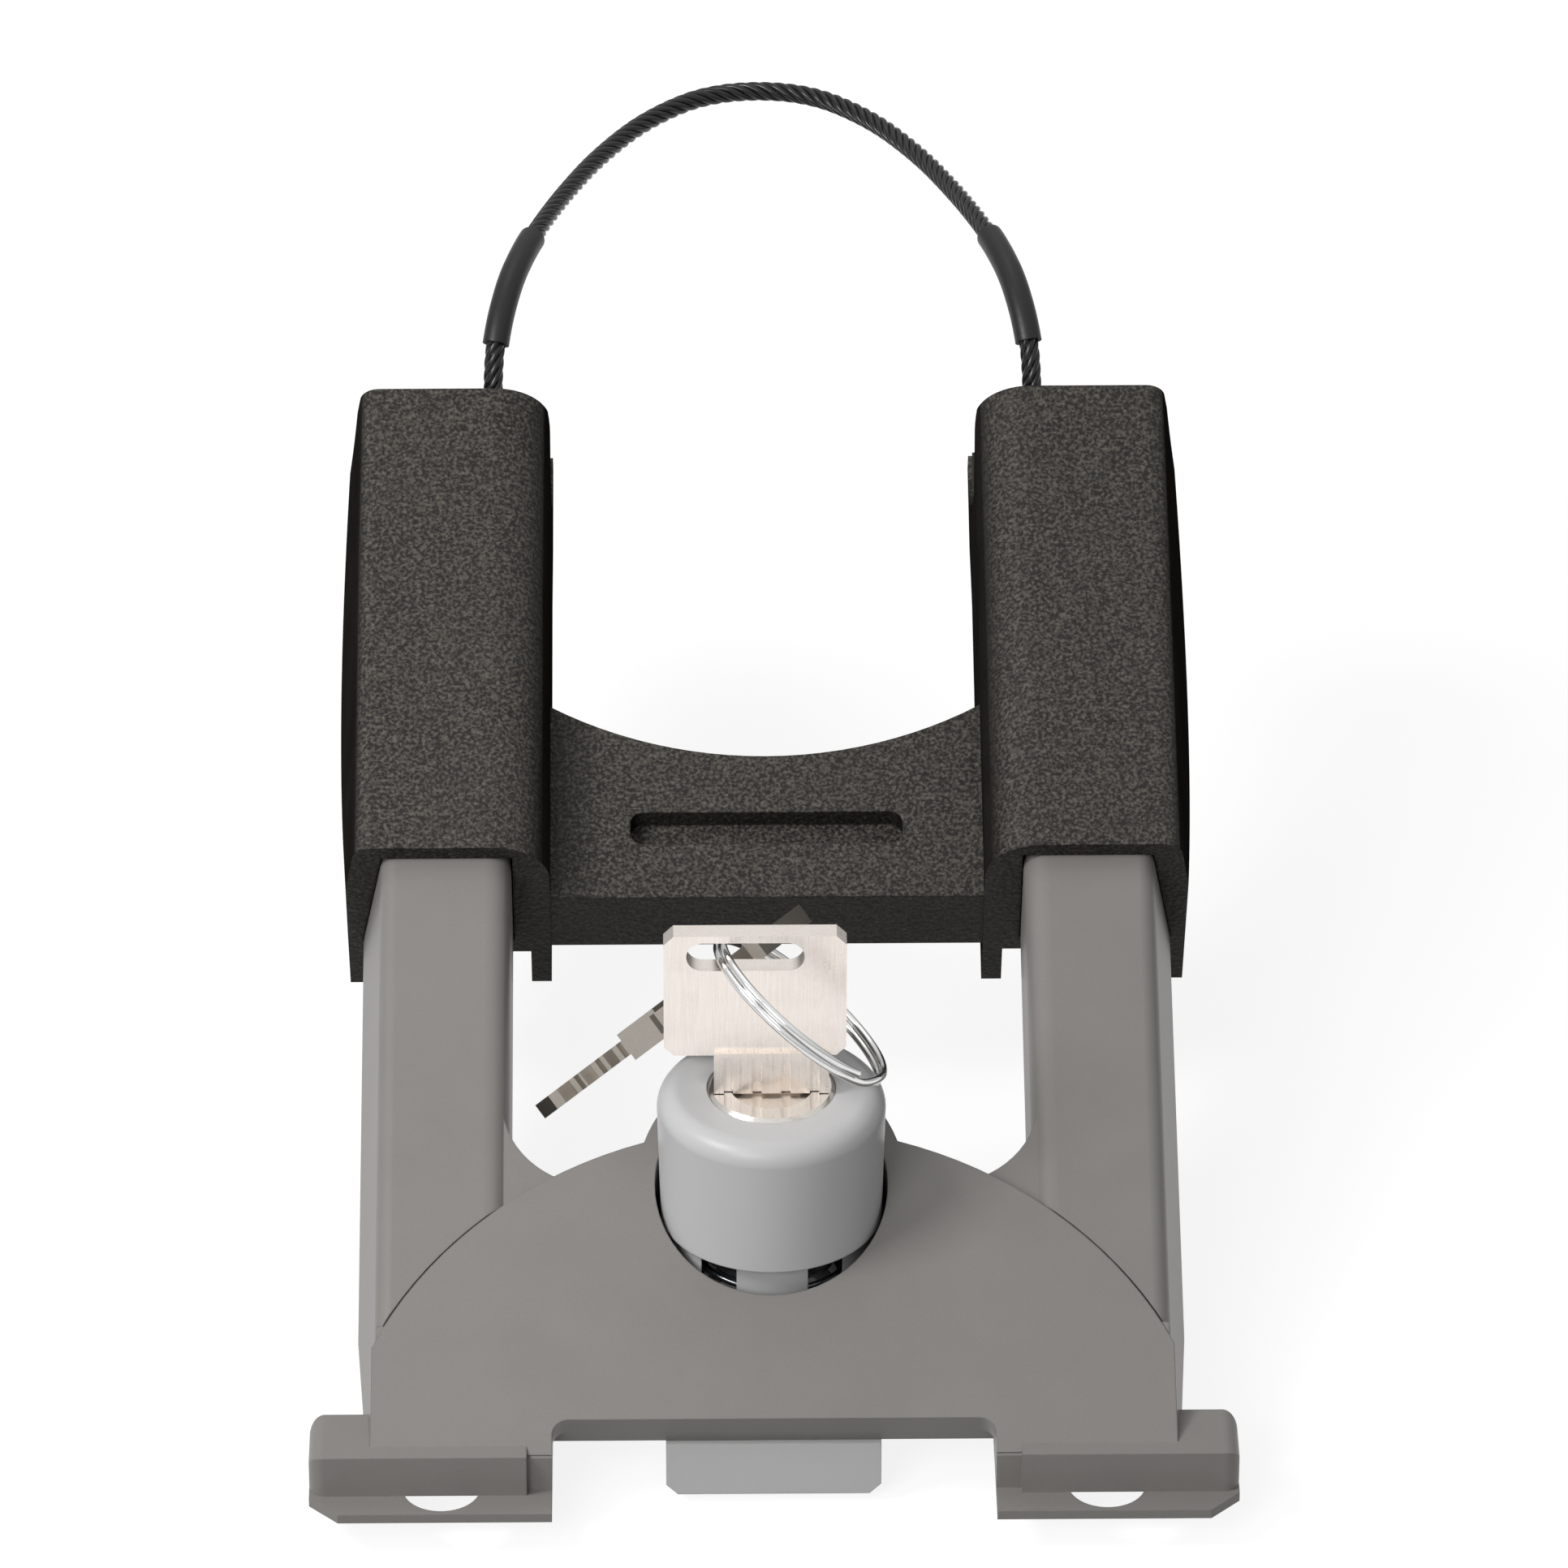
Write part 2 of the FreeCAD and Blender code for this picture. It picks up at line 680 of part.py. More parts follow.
def make_bracket_body():
    """The grey moulding: two arms, the arched plate, the button's guide and two feet."""
    body = new_body("bracket_half", sloped=True)
    arm = [
        (S.arm_inner, -S.arm_back),
        (ARM_OUTER, -S.arm_back),
        (ARM_FACE, S.arm_front),
        (S.arm_inner, S.arm_front)]
    reach = S.foot_front / math.cos(math.radians(S.slope_angle.number)) - S.arm_back
    section = new_sketch(body, "XZ_Plane", "arm_section", [arm], S.arm_top)
    pad(body, section, reach - S.arm_top, "arm")
    front = S.arm_front.number
    inner, outer = S.arm_inner.number, ARM_FACE.number
    far_end, near_end = -reach.number - 1, -S.arm_top.number + 1
    round_edges(body, (inner - 0.01, far_end, front - 0.01), (inner + 0.01, near_end, front + 0.01),
                S.arm_inner_round, "arm_inner_edge")
    round_edges(body, (outer - 0.01, far_end, front - 0.01), (outer + 0.01, near_end, front + 0.01),
                S.arm_outer_round, "arm_outer_edge")
    hollow = rectangle(S.arm_inner + S.shell_wall, -reach + S.shell_wall,
                       ARM_FACE - S.shell_wall * 0.8, -S.arm_hollow_top)
    hollow_sketch = new_sketch(body, "XY_Plane", "arm_hollow_plan", [hollow], -S.arm_back)
    pocket(body, hollow_sketch, S.arm_back + S.arm_front - S.shell_wall, "arm_hollow", flip=True)

    # A fine groove in the arms marks where the plate's arc crosses them
    def arc_level(radius, across):
        """Where a circle about the arc's middle stands, that far from the middle line."""
        return root(radius * radius - across * across) - S.arch_top - ARCH_RADIUS

    groove_in = ARCH_RADIUS - S.shell_wall / 4
    groove_out = ARCH_RADIUS + S.groove_width
    near, far = S.arm_inner - S.shell_wall / 2, ARM_OUTER + S.shell_wall / 8
    groove = [
        (near, arc_level(groove_in, near)), Curve(groove_in, "right"),
        (far, arc_level(groove_in, far)),
        (far, arc_level(groove_out, far)), Curve(groove_out, "left"),
        (near, arc_level(groove_out, near))]
    groove_sketch = new_sketch(body, "XY_Plane", "arc_groove_plan", [groove], S.arm_front)
    pocket(body, groove_sketch, S.groove_depth, "arc_groove")

    # The plate ends in an arc that crosses the arms as a low step
    side_drop = ARCH_RADIUS - root(
        ARCH_RADIUS * ARCH_RADIUS - PLATE_SIDE * PLATE_SIDE)
    outline = [
        (0, -S.notch_reach),
        (S.foot_inner - S.notch_round, -S.notch_reach), Curve(S.notch_round, "right"),
        (S.foot_inner, -S.notch_reach - S.notch_round),
        (S.foot_inner, -reach),
        (PLATE_SIDE, -reach),
        (PLATE_SIDE, -S.arch_top - side_drop), Curve(ARCH_RADIUS, "left"),
        (0, -S.arch_top)]
    plate = new_sketch(body, "XY_Plane", "plate_plan", [outline], PLATE_FACE)
    pad(body, plate, S.plate_thickness, "plate", flip=True)

    # Its sides stand a little outside the arms' and lean with them
    lean = S.arm_draft / (S.arm_front + S.arm_back)
    above = PLATE_FACE + S.plate_step
    outside = PLATE_SIDE + S.shell_wall
    side_waste = [
        (ARM_OUTER + S.plate_step, -S.arm_back),
        (outside, -S.arm_back),
        (outside, above),
        (ARM_OUTER + S.plate_step - lean * (above + S.arm_back), above)]
    waste_sketch = new_sketch(body, "XZ_Plane", "plate_side_draft", [side_waste], S.arm_top)
    pocket(body, waste_sketch, reach, "plate_sides", flip=True)

    # Under the arch's edge a wall stiffens the plate; the notch has a lower lip
    wall_radius = ARCH_RADIUS - S.shell_wall
    wall_end = S.arm_inner + S.shell_wall
    outer_drop = ARCH_RADIUS - root(ARCH_RADIUS * ARCH_RADIUS - wall_end * wall_end)
    inner_drop = wall_radius - root(wall_radius * wall_radius - wall_end * wall_end)
    wall = [
        (0, -S.arch_top - S.shell_wall), Curve(wall_radius, "right"),
        (wall_end, -S.arch_top - S.shell_wall - inner_drop),
        (wall_end, -S.arch_top - outer_drop), Curve(ARCH_RADIUS, "left"),
        (0, -S.arch_top)]
    wall_sketch = new_sketch(body, "XY_Plane", "arch_wall_plan", [wall],
                             PLATE_FACE - S.plate_thickness / 2)
    pad(body, wall_sketch, S.arch_wall, "arch_wall", flip=True)
    gusset = [
        (S.arm_inner + S.shell_wall / 2, -S.gusset_top),
        (S.arm_inner + S.shell_wall * 0.35, -S.gusset_top), Curve(S.gusset_round, "right"),
        (S.gusset_inner, -S.gusset_low),
        (S.gusset_inner, -S.gusset_low - S.shell_wall * 2),
        (S.arm_inner + S.shell_wall / 2, -S.gusset_low - S.shell_wall * 2)]
    gusset_sketch = new_sketch(body, "XY_Plane", "gusset_plan", [gusset],
                               S.arm_front - S.gusset_drop)
    pad(body, gusset_sketch, S.arch_wall, "gusset", flip=True)
    lip = rectangle(0, -S.notch_reach, S.foot_inner + S.shell_wall, -S.notch_reach + S.shell_wall)
    lip_sketch = new_sketch(body, "XY_Plane", "notch_lip_plan", [lip],
                            PLATE_FACE - S.plate_thickness / 2)
    pad(body, lip_sketch, S.lip_tall - S.plate_thickness / 2, "notch_lip", flip=True)

    half = fuse("bracket_side", [body, make_foot()])
    below = block("below_base", (-S.foot_front, -S.foot_front * 1.5, -S.base_level * 2),
                  (S.foot_front, CLEAR, -S.base_level))
    pilot = cylinder("arm_screw_pilot", S.arm_screw_radius + S.snug_gap,
                     S.arm_back + S.arm_screw_tip + 1,
                     on_slope(SCREW_ACROSS.number, -S.arm_screw_down.number,
                              -S.arm_back.number - 0.5),
                     on_slope(0, 0, 1))
    trimmed = cut("bracket_side_trimmed", half, fuse("side_tools", [below, pilot]))
    guide = cylinder("guide_tube", S.guide_radius, S.guide_low,
                     Vector(0, -S.button_forward.number, -S.guide_low.number))
    above = doc.addObject("Part::Box", "above_plate")
    bind(above, "Length", S.foot_front)
    bind(above, "Width", S.foot_front * 2)
    bind(above, "Height", S.guide_low)
    reach = S.foot_front.number
    above.Placement = Placement(on_slope(-reach / 2, -reach * 1.5, PLATE_FACE.number),
                                Rotation(Vector(1, 0, 0), S.slope_angle.number))
    shaft = Vector(0, -S.button_forward.number, -S.guide_low.number - 1)
    seat = Vector(0, -S.button_forward.number, -S.ledge_level.number)
    tools = fuse("pocket_tools", [
        cylinder("guide_bore", S.ledge_radius, S.guide_low + 1, shaft),
        cylinder("button_pocket", S.pocket_radius, S.ledge_level, seat)])
    whole = fuse("bracket_whole", [
        trimmed, mirror("bracket_side_left", trimmed), cut("guide", guide, above)])
    return cut("bracket_body", whole, tools)


def make_saddle_pad():
    """A rubber strip that lines the right saddle."""
    body = new_body("saddle_pad_right", sloped=True)
    outer = SADDLE - S.snug_gap
    top = S.lip_reach + S.pad_inset
    end = S.ear_reach - S.pad_inset
    strip = [
        (-top, root(outer * outer - top * top)), Curve(outer, "left"),
        (end, -root(outer * outer - end * end)),
        (end, -root(S.clamp_radius * S.clamp_radius - end * end)),
        Curve(S.clamp_radius, "right"),
        (-top, root(S.clamp_radius * S.clamp_radius - top * top))]
    sketch = new_sketch(body, "YZ_Plane", "pad_side", [strip], S.sleeve_inner + S.pad_inset)
    pad(body, sketch, PAD_END - S.sleeve_inner - S.pad_inset, "strip")
    return body


# Where the cable runs from the right sleeve over the top to the middle of the loop
CABLE_ROUTE = [
    (34.2, -18.23, 6.635),
    (34.2, -16.23, 12.13),
    (33.3, -12.3, 16.4),
    (31.9, -7.0, 19.3),
    (30.1, -0.8, 20.3),
    (27.8, 7.2, 20.0),
    (24.9, 16.5, 19.2),
    (20.9, 26.4, 18.8),
    (14.6, 36.4, 19.0),
    (5.9, 43.4, 19.3),
]


def cable_points():
    """The whole route, from the right sleeve round to the left one."""
    right = [Vector(*point) for point in CABLE_ROUTE]
    left = [Vector(-point.x, point.y, point.z) for point in reversed(right)]
    return right + left


def rounded_path(points):
    """Straight runs joined by the largest tangent arcs; returns the edges and radii."""
    edges = []
    radii = []
    start = points[0]
    for before, corner, after in zip(points, points[1:], points[2:]):
        inward = (before - corner).normalize()
        outward = (after - corner).normalize()
        turn = math.pi - inward.getAngle(outward)
        reach = 0.45 * min((before - corner).Length, (after - corner).Length)
        radius = reach / math.tan(turn / 2)
        radii.append(radius)
        begin = corner + inward * reach
        end = corner + outward * reach
        bisector = (inward + outward).normalize()
        middle = corner + bisector * (radius / math.cos(turn / 2) - radius)
        edges.append(Part.LineSegment(start, begin).toShape())
        edges.append(Part.Arc(begin, middle, end).toShape())
        start = end
    edges.append(Part.LineSegment(start, points[-1]).toShape())
    return edges, radii


def sweep(edges, outer, inner=None):
    """A round section, solid or hollow, swept along joined edges."""
    path = Part.Wire(edges)
    start = edges[0].valueAt(edges[0].FirstParameter)
    along = edges[0].tangentAt(edges[0].FirstParameter)
    tube = path.makePipeShell([Part.Wire(Part.makeCircle(outer, start, along))], True, False)
    if inner is None:
        return tube
    core = path.makePipeShell([Part.Wire(Part.makeCircle(inner, start, along))], True, False)
    return tube.cut(core)


def make_cable():
    """The loop of coated wire rope and the guard tube on each side of it."""
    edges, radii = rounded_path(cable_points())
    print("cable arc radii, mm:", ", ".join(f"{radius:.1f}" for radius in radii))
    loop = sweep(edges, S.cable_radius.number)
    length = sum(edge.Length for edge in edges)
    expected = math.pi * S.cable_radius.number ** 2 * length
    print(f"cable length {length:.1f} mm, volume {loop.Volume:.1f} of {expected:.1f} mm3")
    guard = sweep(edges[2:8], S.guard_outer.number, S.guard_inner.number)
    return feature_of("cable_loop", loop), feature_of("cable_guard_right", guard)


def make_cable_end():
    """The straight tail in the right sleeve, its ferrule and the bolt that pulls it."""
    tail = down_bore("cable_tail_right", S.cable_radius, 0, S.tail_length)
    ferrule = cut(
        "cable_ferrule_right",
        down_bore("ferrule_bar", S.ferrule_radius, S.ferrule_start, S.ferrule_end),
        fuse("ferrule_holes", [
            down_bore("ferrule_top_hole", S.cable_radius + S.snug_gap,
                      S.ferrule_start - 1, S.ferrule_bore_end),
            down_bore("ferrule_thread", S.bolt_radius + S.snug_gap,
                      S.ferrule_thread_start, S.ferrule_end + 1)]))
    bolt = cut(
        "tension_bolt_right",
        fuse("bolt_bar", [
            down_bore("bolt_shank", S.bolt_radius, S.bolt_start, S.bolt_seat + 1),
            down_bore("bolt_cap", S.bolt_head, S.bolt_seat, S.bolt_seat + S.bolt_head_tall)]),
        hex_socket("bolt_socket", S.bolt_socket,
                   EXIT + DOWN * (S.bolt_seat.number + S.bolt_head_tall.number), DOWN * -1))
    return tail, ferrule, bolt


def hex_socket(name, radius, mouth, inward):
    """A six-sided hole, one radius and a bit deep, for cutting into a screw head."""
    prism = doc.addObject("Part::Prism", name)
    prism.Polygon = 6
    bind(prism, "Circumradius", radius)
    bind(prism, "Height", radius * 1.3 + 1)
    prism.Placement = Placement(mouth - inward, Rotation(Vector(0, 0, 1), inward))
    return prism


def make_arm_screw():
    """The cap screw that holds the right arm in its sleeve, driven from the back."""
    floor = -S.arm_back - S.piece_gap - S.floor_thickness
    inward = on_slope(0, 0, 1)

    def at_level(level):
        return on_slope(SCREW_ACROSS.number, -S.arm_screw_down.number, level)

    head_low = floor.number - S.arm_screw_tall.number
    bar = fuse("arm_screw_bar", [
        cylinder("arm_screw_shank", S.arm_screw_radius,
                 S.arm_screw_tip - floor + S.arm_screw_tall / 2,
                 at_level(floor.number - S.arm_screw_tall.number / 2), inward),
        cylinder("arm_screw_cap", S.arm_screw_head, S.arm_screw_tall,
                 at_level(head_low), inward)])
    return cut("arm_screw_right", bar,
               hex_socket("arm_screw_socket", S.bolt_socket, at_level(head_low), inward))


def make_release_button():
    """The round cap: it holds the lock and slides on its castellated skirt."""
    body = new_body("release_button", forward=S.button_forward)
    bore = S.barrel_radius + S.snug_gap
    profile = [
        (bore, -S.button_top),
        (S.button_radius - S.button_round, -S.button_top), Curve(S.button_round, "right"),
        (S.button_radius, -S.button_top - S.button_round),
        (S.button_low_radius, -S.button_shoulder),
        (S.skirt_radius, -S.button_shoulder),
        (S.skirt_radius, -S.skirt_low),
        (S.skirt_inner, -S.skirt_low),
        (S.skirt_inner, -S.spring_seat),
        (S.holder_radius, -S.spring_seat),
        (S.holder_radius, -S.holder_low),
        (bore, -S.holder_low)]
    revolve(body, new_sketch(body, "XZ_Plane", "button_profile", [profile]), "button_turned")
    notch = [
        rectangle(S.notch_near, -S.skirt_low - 1, S.notch_far, -S.button_shoulder),
        rectangle(-S.notch_far, -S.skirt_low - 1, -S.notch_near, -S.button_shoulder)]
    notches = new_sketch(body, "XZ_Plane", "notch_plan", notch, -S.button_radius - 1)
    pocket(body, notches, None, "skirt_notches", flip=True)
    prongs = []
    for side in (1, -1):
        outline = [
            (S.skirt_inner * side, -S.skirt_low + S.snug_gap),
            (S.skirt_inner * side, -S.prong_low),
            (S.skirt_radius * side, -S.prong_low),
            (S.barb_radius * side, -S.skirt_low - S.latch_thick - S.piece_gap),
            (S.skirt_radius * side, -S.skirt_low - S.latch_thick - S.piece_gap),
            (S.skirt_radius * side, -S.skirt_low + S.snug_gap)]
        prongs.append(outline)
    prong_sketch = new_sketch(body, "XZ_Plane", "prong_section", prongs, -S.prong_half)
    pad(body, prong_sketch, S.prong_half * 2, "prongs")
    return body


def make_lock_barrel():
    """The turned barrel: a bright rim above, a bore for the plug, a groove for its clip."""
    body = new_body("lock_barrel", forward=S.button_forward)
    groove_top = -S.holder_low
    groove_low = -S.holder_low - S.clip_thick - S.snug_gap * 2
    profile = [
        (S.plug_radius + S.snug_gap, -S.barrel_top),
        (S.barrel_radius - S.barrel_chamfer, -S.barrel_top),
        (S.barrel_radius, -S.barrel_top - S.barrel_chamfer),
        (S.barrel_radius, groove_top),
        (S.clip_seat, groove_top),
        (S.clip_seat, groove_low),
        (S.barrel_radius, groove_low),
        (S.barrel_radius, -S.barrel_low),
        (S.plug_radius + S.snug_gap, -S.barrel_low)]
    revolve(body, new_sketch(body, "XZ_Plane", "barrel_profile", [profile]), "barrel_turned")
    return body


def make_barrel_clip():
    """The open clip that keeps the barrel in the button."""
    body = new_body("barrel_clip", forward=S.button_forward)
    inner = S.clip_seat + S.snug_gap
    ring = [("circle", 0, 0, S.clip_radius), ("circle", 0, 0, inner)]
    sketch = new_sketch(body, "XY_Plane", "clip_plan", ring,
                        -S.holder_low - S.clip_thick - S.snug_gap)
    pad(body, sketch, S.clip_thick, "clip")
    gap = rectangle(-S.clip_seat * 0.55, 0, S.clip_seat * 0.55, S.clip_radius + 1)
    gap_sketch = new_sketch(body, "XY_Plane", "clip_gap_plan", [gap], 0)
    pocket(body, gap_sketch, None, "clip_gap")
    return body


def make_lock_plug():
    """The plug with its keyway and the hole for the cam's screw."""
    body = new_body("lock_plug", forward=S.button_forward)
    circle = [("circle", 0, 0, S.plug_radius)]
    pad(body, new_sketch(body, "XY_Plane", "plug_plan", circle, -S.plug_low),
        S.plug_low - S.plug_top, "plug")
    keyway = rectangle(-S.keyway_wide / 2, -S.keyway_thick / 2,
                       S.keyway_wide / 2, S.keyway_thick / 2)
    pocket(body, new_sketch(body, "XY_Plane", "keyway_plan", [keyway], -S.plug_top),
           S.keyway_low - S.plug_top, "keyway")
    hole = [("circle", 0, 0, S.cam_screw_radius + S.snug_gap)]
    pocket(body, new_sketch(body, "XY_Plane", "cam_hole_plan", hole, -S.plug_low),
           S.plug_low - S.keyway_low - 1, "cam_screw_hole", flip=True)
    return body


def make_lock_cam():
    """The cam under the plug: a hub with one lobe."""
    body = new_body("lock_cam", forward=S.button_forward)
    level = -S.plug_low - S.cam_thick
    centre = S.cam_reach - S.cam_tip
    sine = (S.cam_hub - S.cam_tip) / centre
    cosine = root(as_size(1) - sine * sine)
    lobe = [
        (S.cam_hub * sine, -S.cam_hub * cosine),
        (centre + S.cam_tip * sine, -S.cam_tip * cosine), Curve(S.cam_tip, "left"),
        (S.cam_reach, 0), Curve(S.cam_tip, "left"),
        (centre + S.cam_tip * sine, S.cam_tip * cosine),
        (S.cam_hub * sine, S.cam_hub * cosine), Curve(S.cam_hub, "left"),
        (-S.cam_hub, 0), Curve(S.cam_hub, "left")]
    pad(body, new_sketch(body, "XY_Plane", "cam_plan", [lobe], level), S.cam_thick, "cam")
    hole = [("circle", 0, 0, S.cam_screw_radius + S.snug_gap)]
    pocket(body, new_sketch(body, "XY_Plane", "cam_bore_plan", hole, level),
           S.cam_thick, "cam_bore", flip=True)
    return body


def make_cam_screw():
    """The pan-head screw that holds the cam."""
    axis_y = -S.button_forward.number
    head_top = -S.plug_low.number - S.cam_thick.number
    head_low = head_top - S.cam_screw_tall.number
    bar = fuse("cam_screw_bar", [
        cylinder("cam_screw_cap", S.cam_screw_head, S.cam_screw_tall, Vector(0, axis_y, head_low)),
        cylinder("cam_screw_shank", S.cam_screw_radius,
                 S.plug_low + S.cam_thick + S.cam_screw_tall / 2 - S.keyway_low - 1.2,
                 Vector(0, axis_y, head_low + S.cam_screw_tall.number / 2))])
    slot = block("cam_screw_slot",
                 (-S.cam_screw_head, -S.button_forward - 0.4, -S.plug_low - S.cam_thick
                  - S.cam_screw_tall - 1),
                 (S.cam_screw_head, -S.button_forward + 0.4, -S.plug_low - S.cam_thick
                  - S.cam_screw_tall / 2))
    return cut("cam_screw", bar, slot)


def make_spring_plate():
    """The fixed ring under the spring; its four lugs reach through the skirt's notches."""
    body = new_body("spring_plate", forward=S.button_forward)
    low = -S.ledge_level
    disc = [("circle", 0, 0, S.lug_radius), ("circle", 0, 0, S.spring_plate_inner)]
    pad(body, new_sketch(body, "XY_Plane", "spring_plate_plan", disc, low),
        S.spring_plate_thick, "spring_disc")
    near = S.notch_near + S.piece_gap
    far = S.notch_far - S.piece_gap
    reach = S.lug_radius + 1
    wastes = []
    for side in (1, -1):
        inner = root(S.spring_plate_outer * S.spring_plate_outer - near * near)
        wastes.append([
            (-near, inner * side), Curve(S.spring_plate_outer, "right" if side > 0 else "left"),
            (near, inner * side),
            (near, reach * side),
            (-near, reach * side)])
        outer = root(S.spring_plate_outer * S.spring_plate_outer - far * far)
        wastes.append([
            (far * side, -outer), Curve(S.spring_plate_outer, "left" if side > 0 else "right"),
            (far * side, outer),
            (far * side, reach),
            (reach * side, reach),
            (reach * side, -reach),
            (far * side, -reach)])
    waste = new_sketch(body, "XY_Plane", "lug_waste_plan", wastes, low)
    pocket(body, waste, S.spring_plate_thick, "lug_waste", flip=True)
    return body


def make_return_spring():
    """The coil that lifts the button, from the spring plate to the seat in the cap."""
    wire = S.spring_wire.number / 2
    low = -S.ledge_level.number + S.spring_plate_thick.number + wire + S.snug_gap.number
    high = -S.spring_seat.number - wire - S.snug_gap.number
    turns = S.spring_turns.number
    sides = S.spring_sides.number
    corner = S.spring_radius.number / math.cos(math.pi / sides)

    def on_coil(turn, radius):
        """The point that many turns up the coil, at a distance from its middle line."""
        angle = 2 * math.pi * turn
        level = low + (high - low) * turn / turns
        return Vector(radius * math.cos(angle), radius * math.sin(angle), level)

    points = [on_coil(0, S.spring_radius.number)]
    points += [on_coil((place + 0.5) / sides, corner) for place in range(round(turns * sides))]
    points.append(on_coil(turns, S.spring_radius.number))
    edges, _ = rounded_path(points)
    solid = feature_of("return_spring", sweep(edges, wire))
    solid.Placement = Placement(Vector(0, -S.button_forward.number, 0), Rotation())
    return solid


def make_latch_slider():
    """The plate clipped under the button, with the arm and tab that hold the bag."""
    body = new_body("latch_slider", forward=S.button_forward)
    low = -S.skirt_low - S.latch_thick
    tab_front = S.tab_front - S.button_forward
    disc = [("circle", 0, 0, S.latch_disc), ("circle", 0, 0, S.spring_plate_inner)]
    pad(body, new_sketch(body, "XY_Plane", "latch_disc_plan", disc, low),
        S.latch_thick, "latch_disc_plate")
    arm = rectangle(-S.latch_arm_half, -tab_front + S.tab_thick / 2, S.latch_arm_half,
                    -S.skirt_inner)
    pad(body, new_sketch(body, "XY_Plane", "latch_arm_plan", [arm], low),
        S.latch_thick, "latch_arm")
    edge = S.tab_chamfer
    tab = [
        (-S.tab_half + edge, -S.tab_low),
        (S.tab_half - edge, -S.tab_low),
        (S.tab_half, -S.tab_low + edge),
        (S.tab_half, -S.tab_top),
        (-S.tab_half, -S.tab_top),
        (-S.tab_half, -S.tab_low + edge)]
    pad(body, new_sketch(body, "XZ_Plane", "tab_face", [tab], tab_front - S.tab_thick),
        S.tab_thick, "tab")
    slots = []
    for side in (1, -1):
        inner = S.skirt_inner * side - S.piece_gap * side
        outer = S.skirt_radius * side + S.piece_gap * side
        half = S.prong_half + S.piece_gap
        slots.append([(inner, -half), (outer, -half), (outer, half), (inner, half)])
    pocket(body, new_sketch(body, "XY_Plane", "prong_slots", slots, low),
           S.latch_thick, "prong_slots_cut", flip=True)
    return body


def key_outline():
    """The head of a key, seen from the front, from its top corner round to its neck."""
    corner = S.key_corner
    return [
        (-S.key_left + corner, -S.key_top),
        (-S.key_left, -S.key_top - corner),
        (-S.key_left, -S.key_bottom + corner),
        (-S.key_left + corner, -S.key_bottom),
        (S.key_right - corner, -S.key_bottom),
        (S.key_right, -S.key_bottom + corner),
        (S.key_right, -S.key_top - corner),
        (S.key_right - corner, -S.key_top)]


def make_key(name):
    """A flat key: head with a slot for the ring, grooved neck and a blade with cuts."""
    body = new_body(name, forward=S.button_forward)
    half = S.key_thick / 2
    pad(body, new_sketch(body, "XZ_Plane", "head_plan", [key_outline()], -half),
        S.key_thick, "head")
    neck = rectangle(-S.neck_half, -S.neck_low, S.neck_half, -S.key_bottom + S.key_corner / 2)
    pad(body, new_sketch(body, "XZ_Plane", "neck_plan", [neck], -S.neck_thick / 2),
        S.neck_thick, "neck")
    grooves = []
    for place in (-1.5, -0.5, 0.5, 1.5):
        middle = S.neck_half * place / 2
        grooves.append(rectangle(middle - S.neck_groove / 2, -S.neck_low - 1,
                                 middle + S.neck_groove / 2, -S.key_bottom))
    pocket(body, new_sketch(body, "XZ_Plane", "groove_plan", grooves, S.neck_thick / 2),
           S.neck_groove_depth, "neck_grooves")
    blade = [
        (-S.blade_wide / 2, -S.neck_low),
        (-S.blade_wide / 2, -S.blade_low + S.blade_wide / 2),
        (0, -S.blade_low),
        (S.blade_wide / 2, -S.blade_low + S.blade_wide / 2),
        (S.blade_wide / 2, -S.neck_low)]
    pad(body, new_sketch(body, "XZ_Plane", "blade_plan", [blade], -S.blade_thick / 2),
        S.blade_thick, "blade")
    cuts = []
    for count in range(3):
        middle = -S.neck_low - S.cut_tall * (count * 1.2 + 1)
        depth = S.blade_wide * (0.14 + 0.05 * (count % 3))
        cuts.append([
            (S.blade_wide / 2 + 1, middle - S.cut_tall / 2 - 1),
            (S.blade_wide / 2 + 1, middle + S.cut_tall / 2 + 1),
            (S.blade_wide / 2 - depth, middle + S.cut_tall / 8),
            (S.blade_wide / 2 - depth, middle - S.cut_tall / 8)])
    for count, outline in enumerate(cuts):
        sketch = new_sketch(body, "XZ_Plane", f"cut_plan_{count}", [outline], S.blade_thick)
        pocket(body, sketch, S.blade_thick * 2, f"blade_cut_{count}")
    slot_half = S.key_slot_tall / 2
    slot = [
        (-S.key_slot_left + slot_half, -S.key_slot_level - slot_half),
        (S.key_slot_right - slot_half, -S.key_slot_level - slot_half),
        Curve(slot_half * 1.0001, "left"),
        (S.key_slot_right - slot_half, -S.key_slot_level + slot_half),
        (-S.key_slot_left + slot_half, -S.key_slot_level + slot_half),
        Curve(slot_half * 1.0001, "left")]
    pocket(body, new_sketch(body, "XZ_Plane", "ring_slot_plan", [slot], S.key_thick),
           S.key_thick * 2, "ring_slot")
    return body


# The ring's plane: one direction runs down to the right, the other back and away
SIGHT = math.radians(S.ring_tilt_angle.number)
RIGHT = Vector(1, 0, 0)
RISE = Vector(0, math.sin(SIGHT), math.cos(SIGHT))
TOWARDS = Vector(0, -math.cos(SIGHT), math.sin(SIGHT))
RING_TURN = math.radians(S.ring_turn_angle.number)
RING_LEAN = math.radians(S.ring_lean_angle.number)
RING_LONG = RIGHT * math.cos(RING_TURN) - RISE * math.sin(RING_TURN)
RING_ASIDE = RIGHT * math.sin(RING_TURN) + RISE * math.cos(RING_TURN)
RING_DEEP = RING_ASIDE * math.sin(RING_LEAN) - TOWARDS * math.cos(RING_LEAN)
RING_CENTRE = Vector(S.ring_across.number, -S.button_forward.number, -S.ring_level.number)


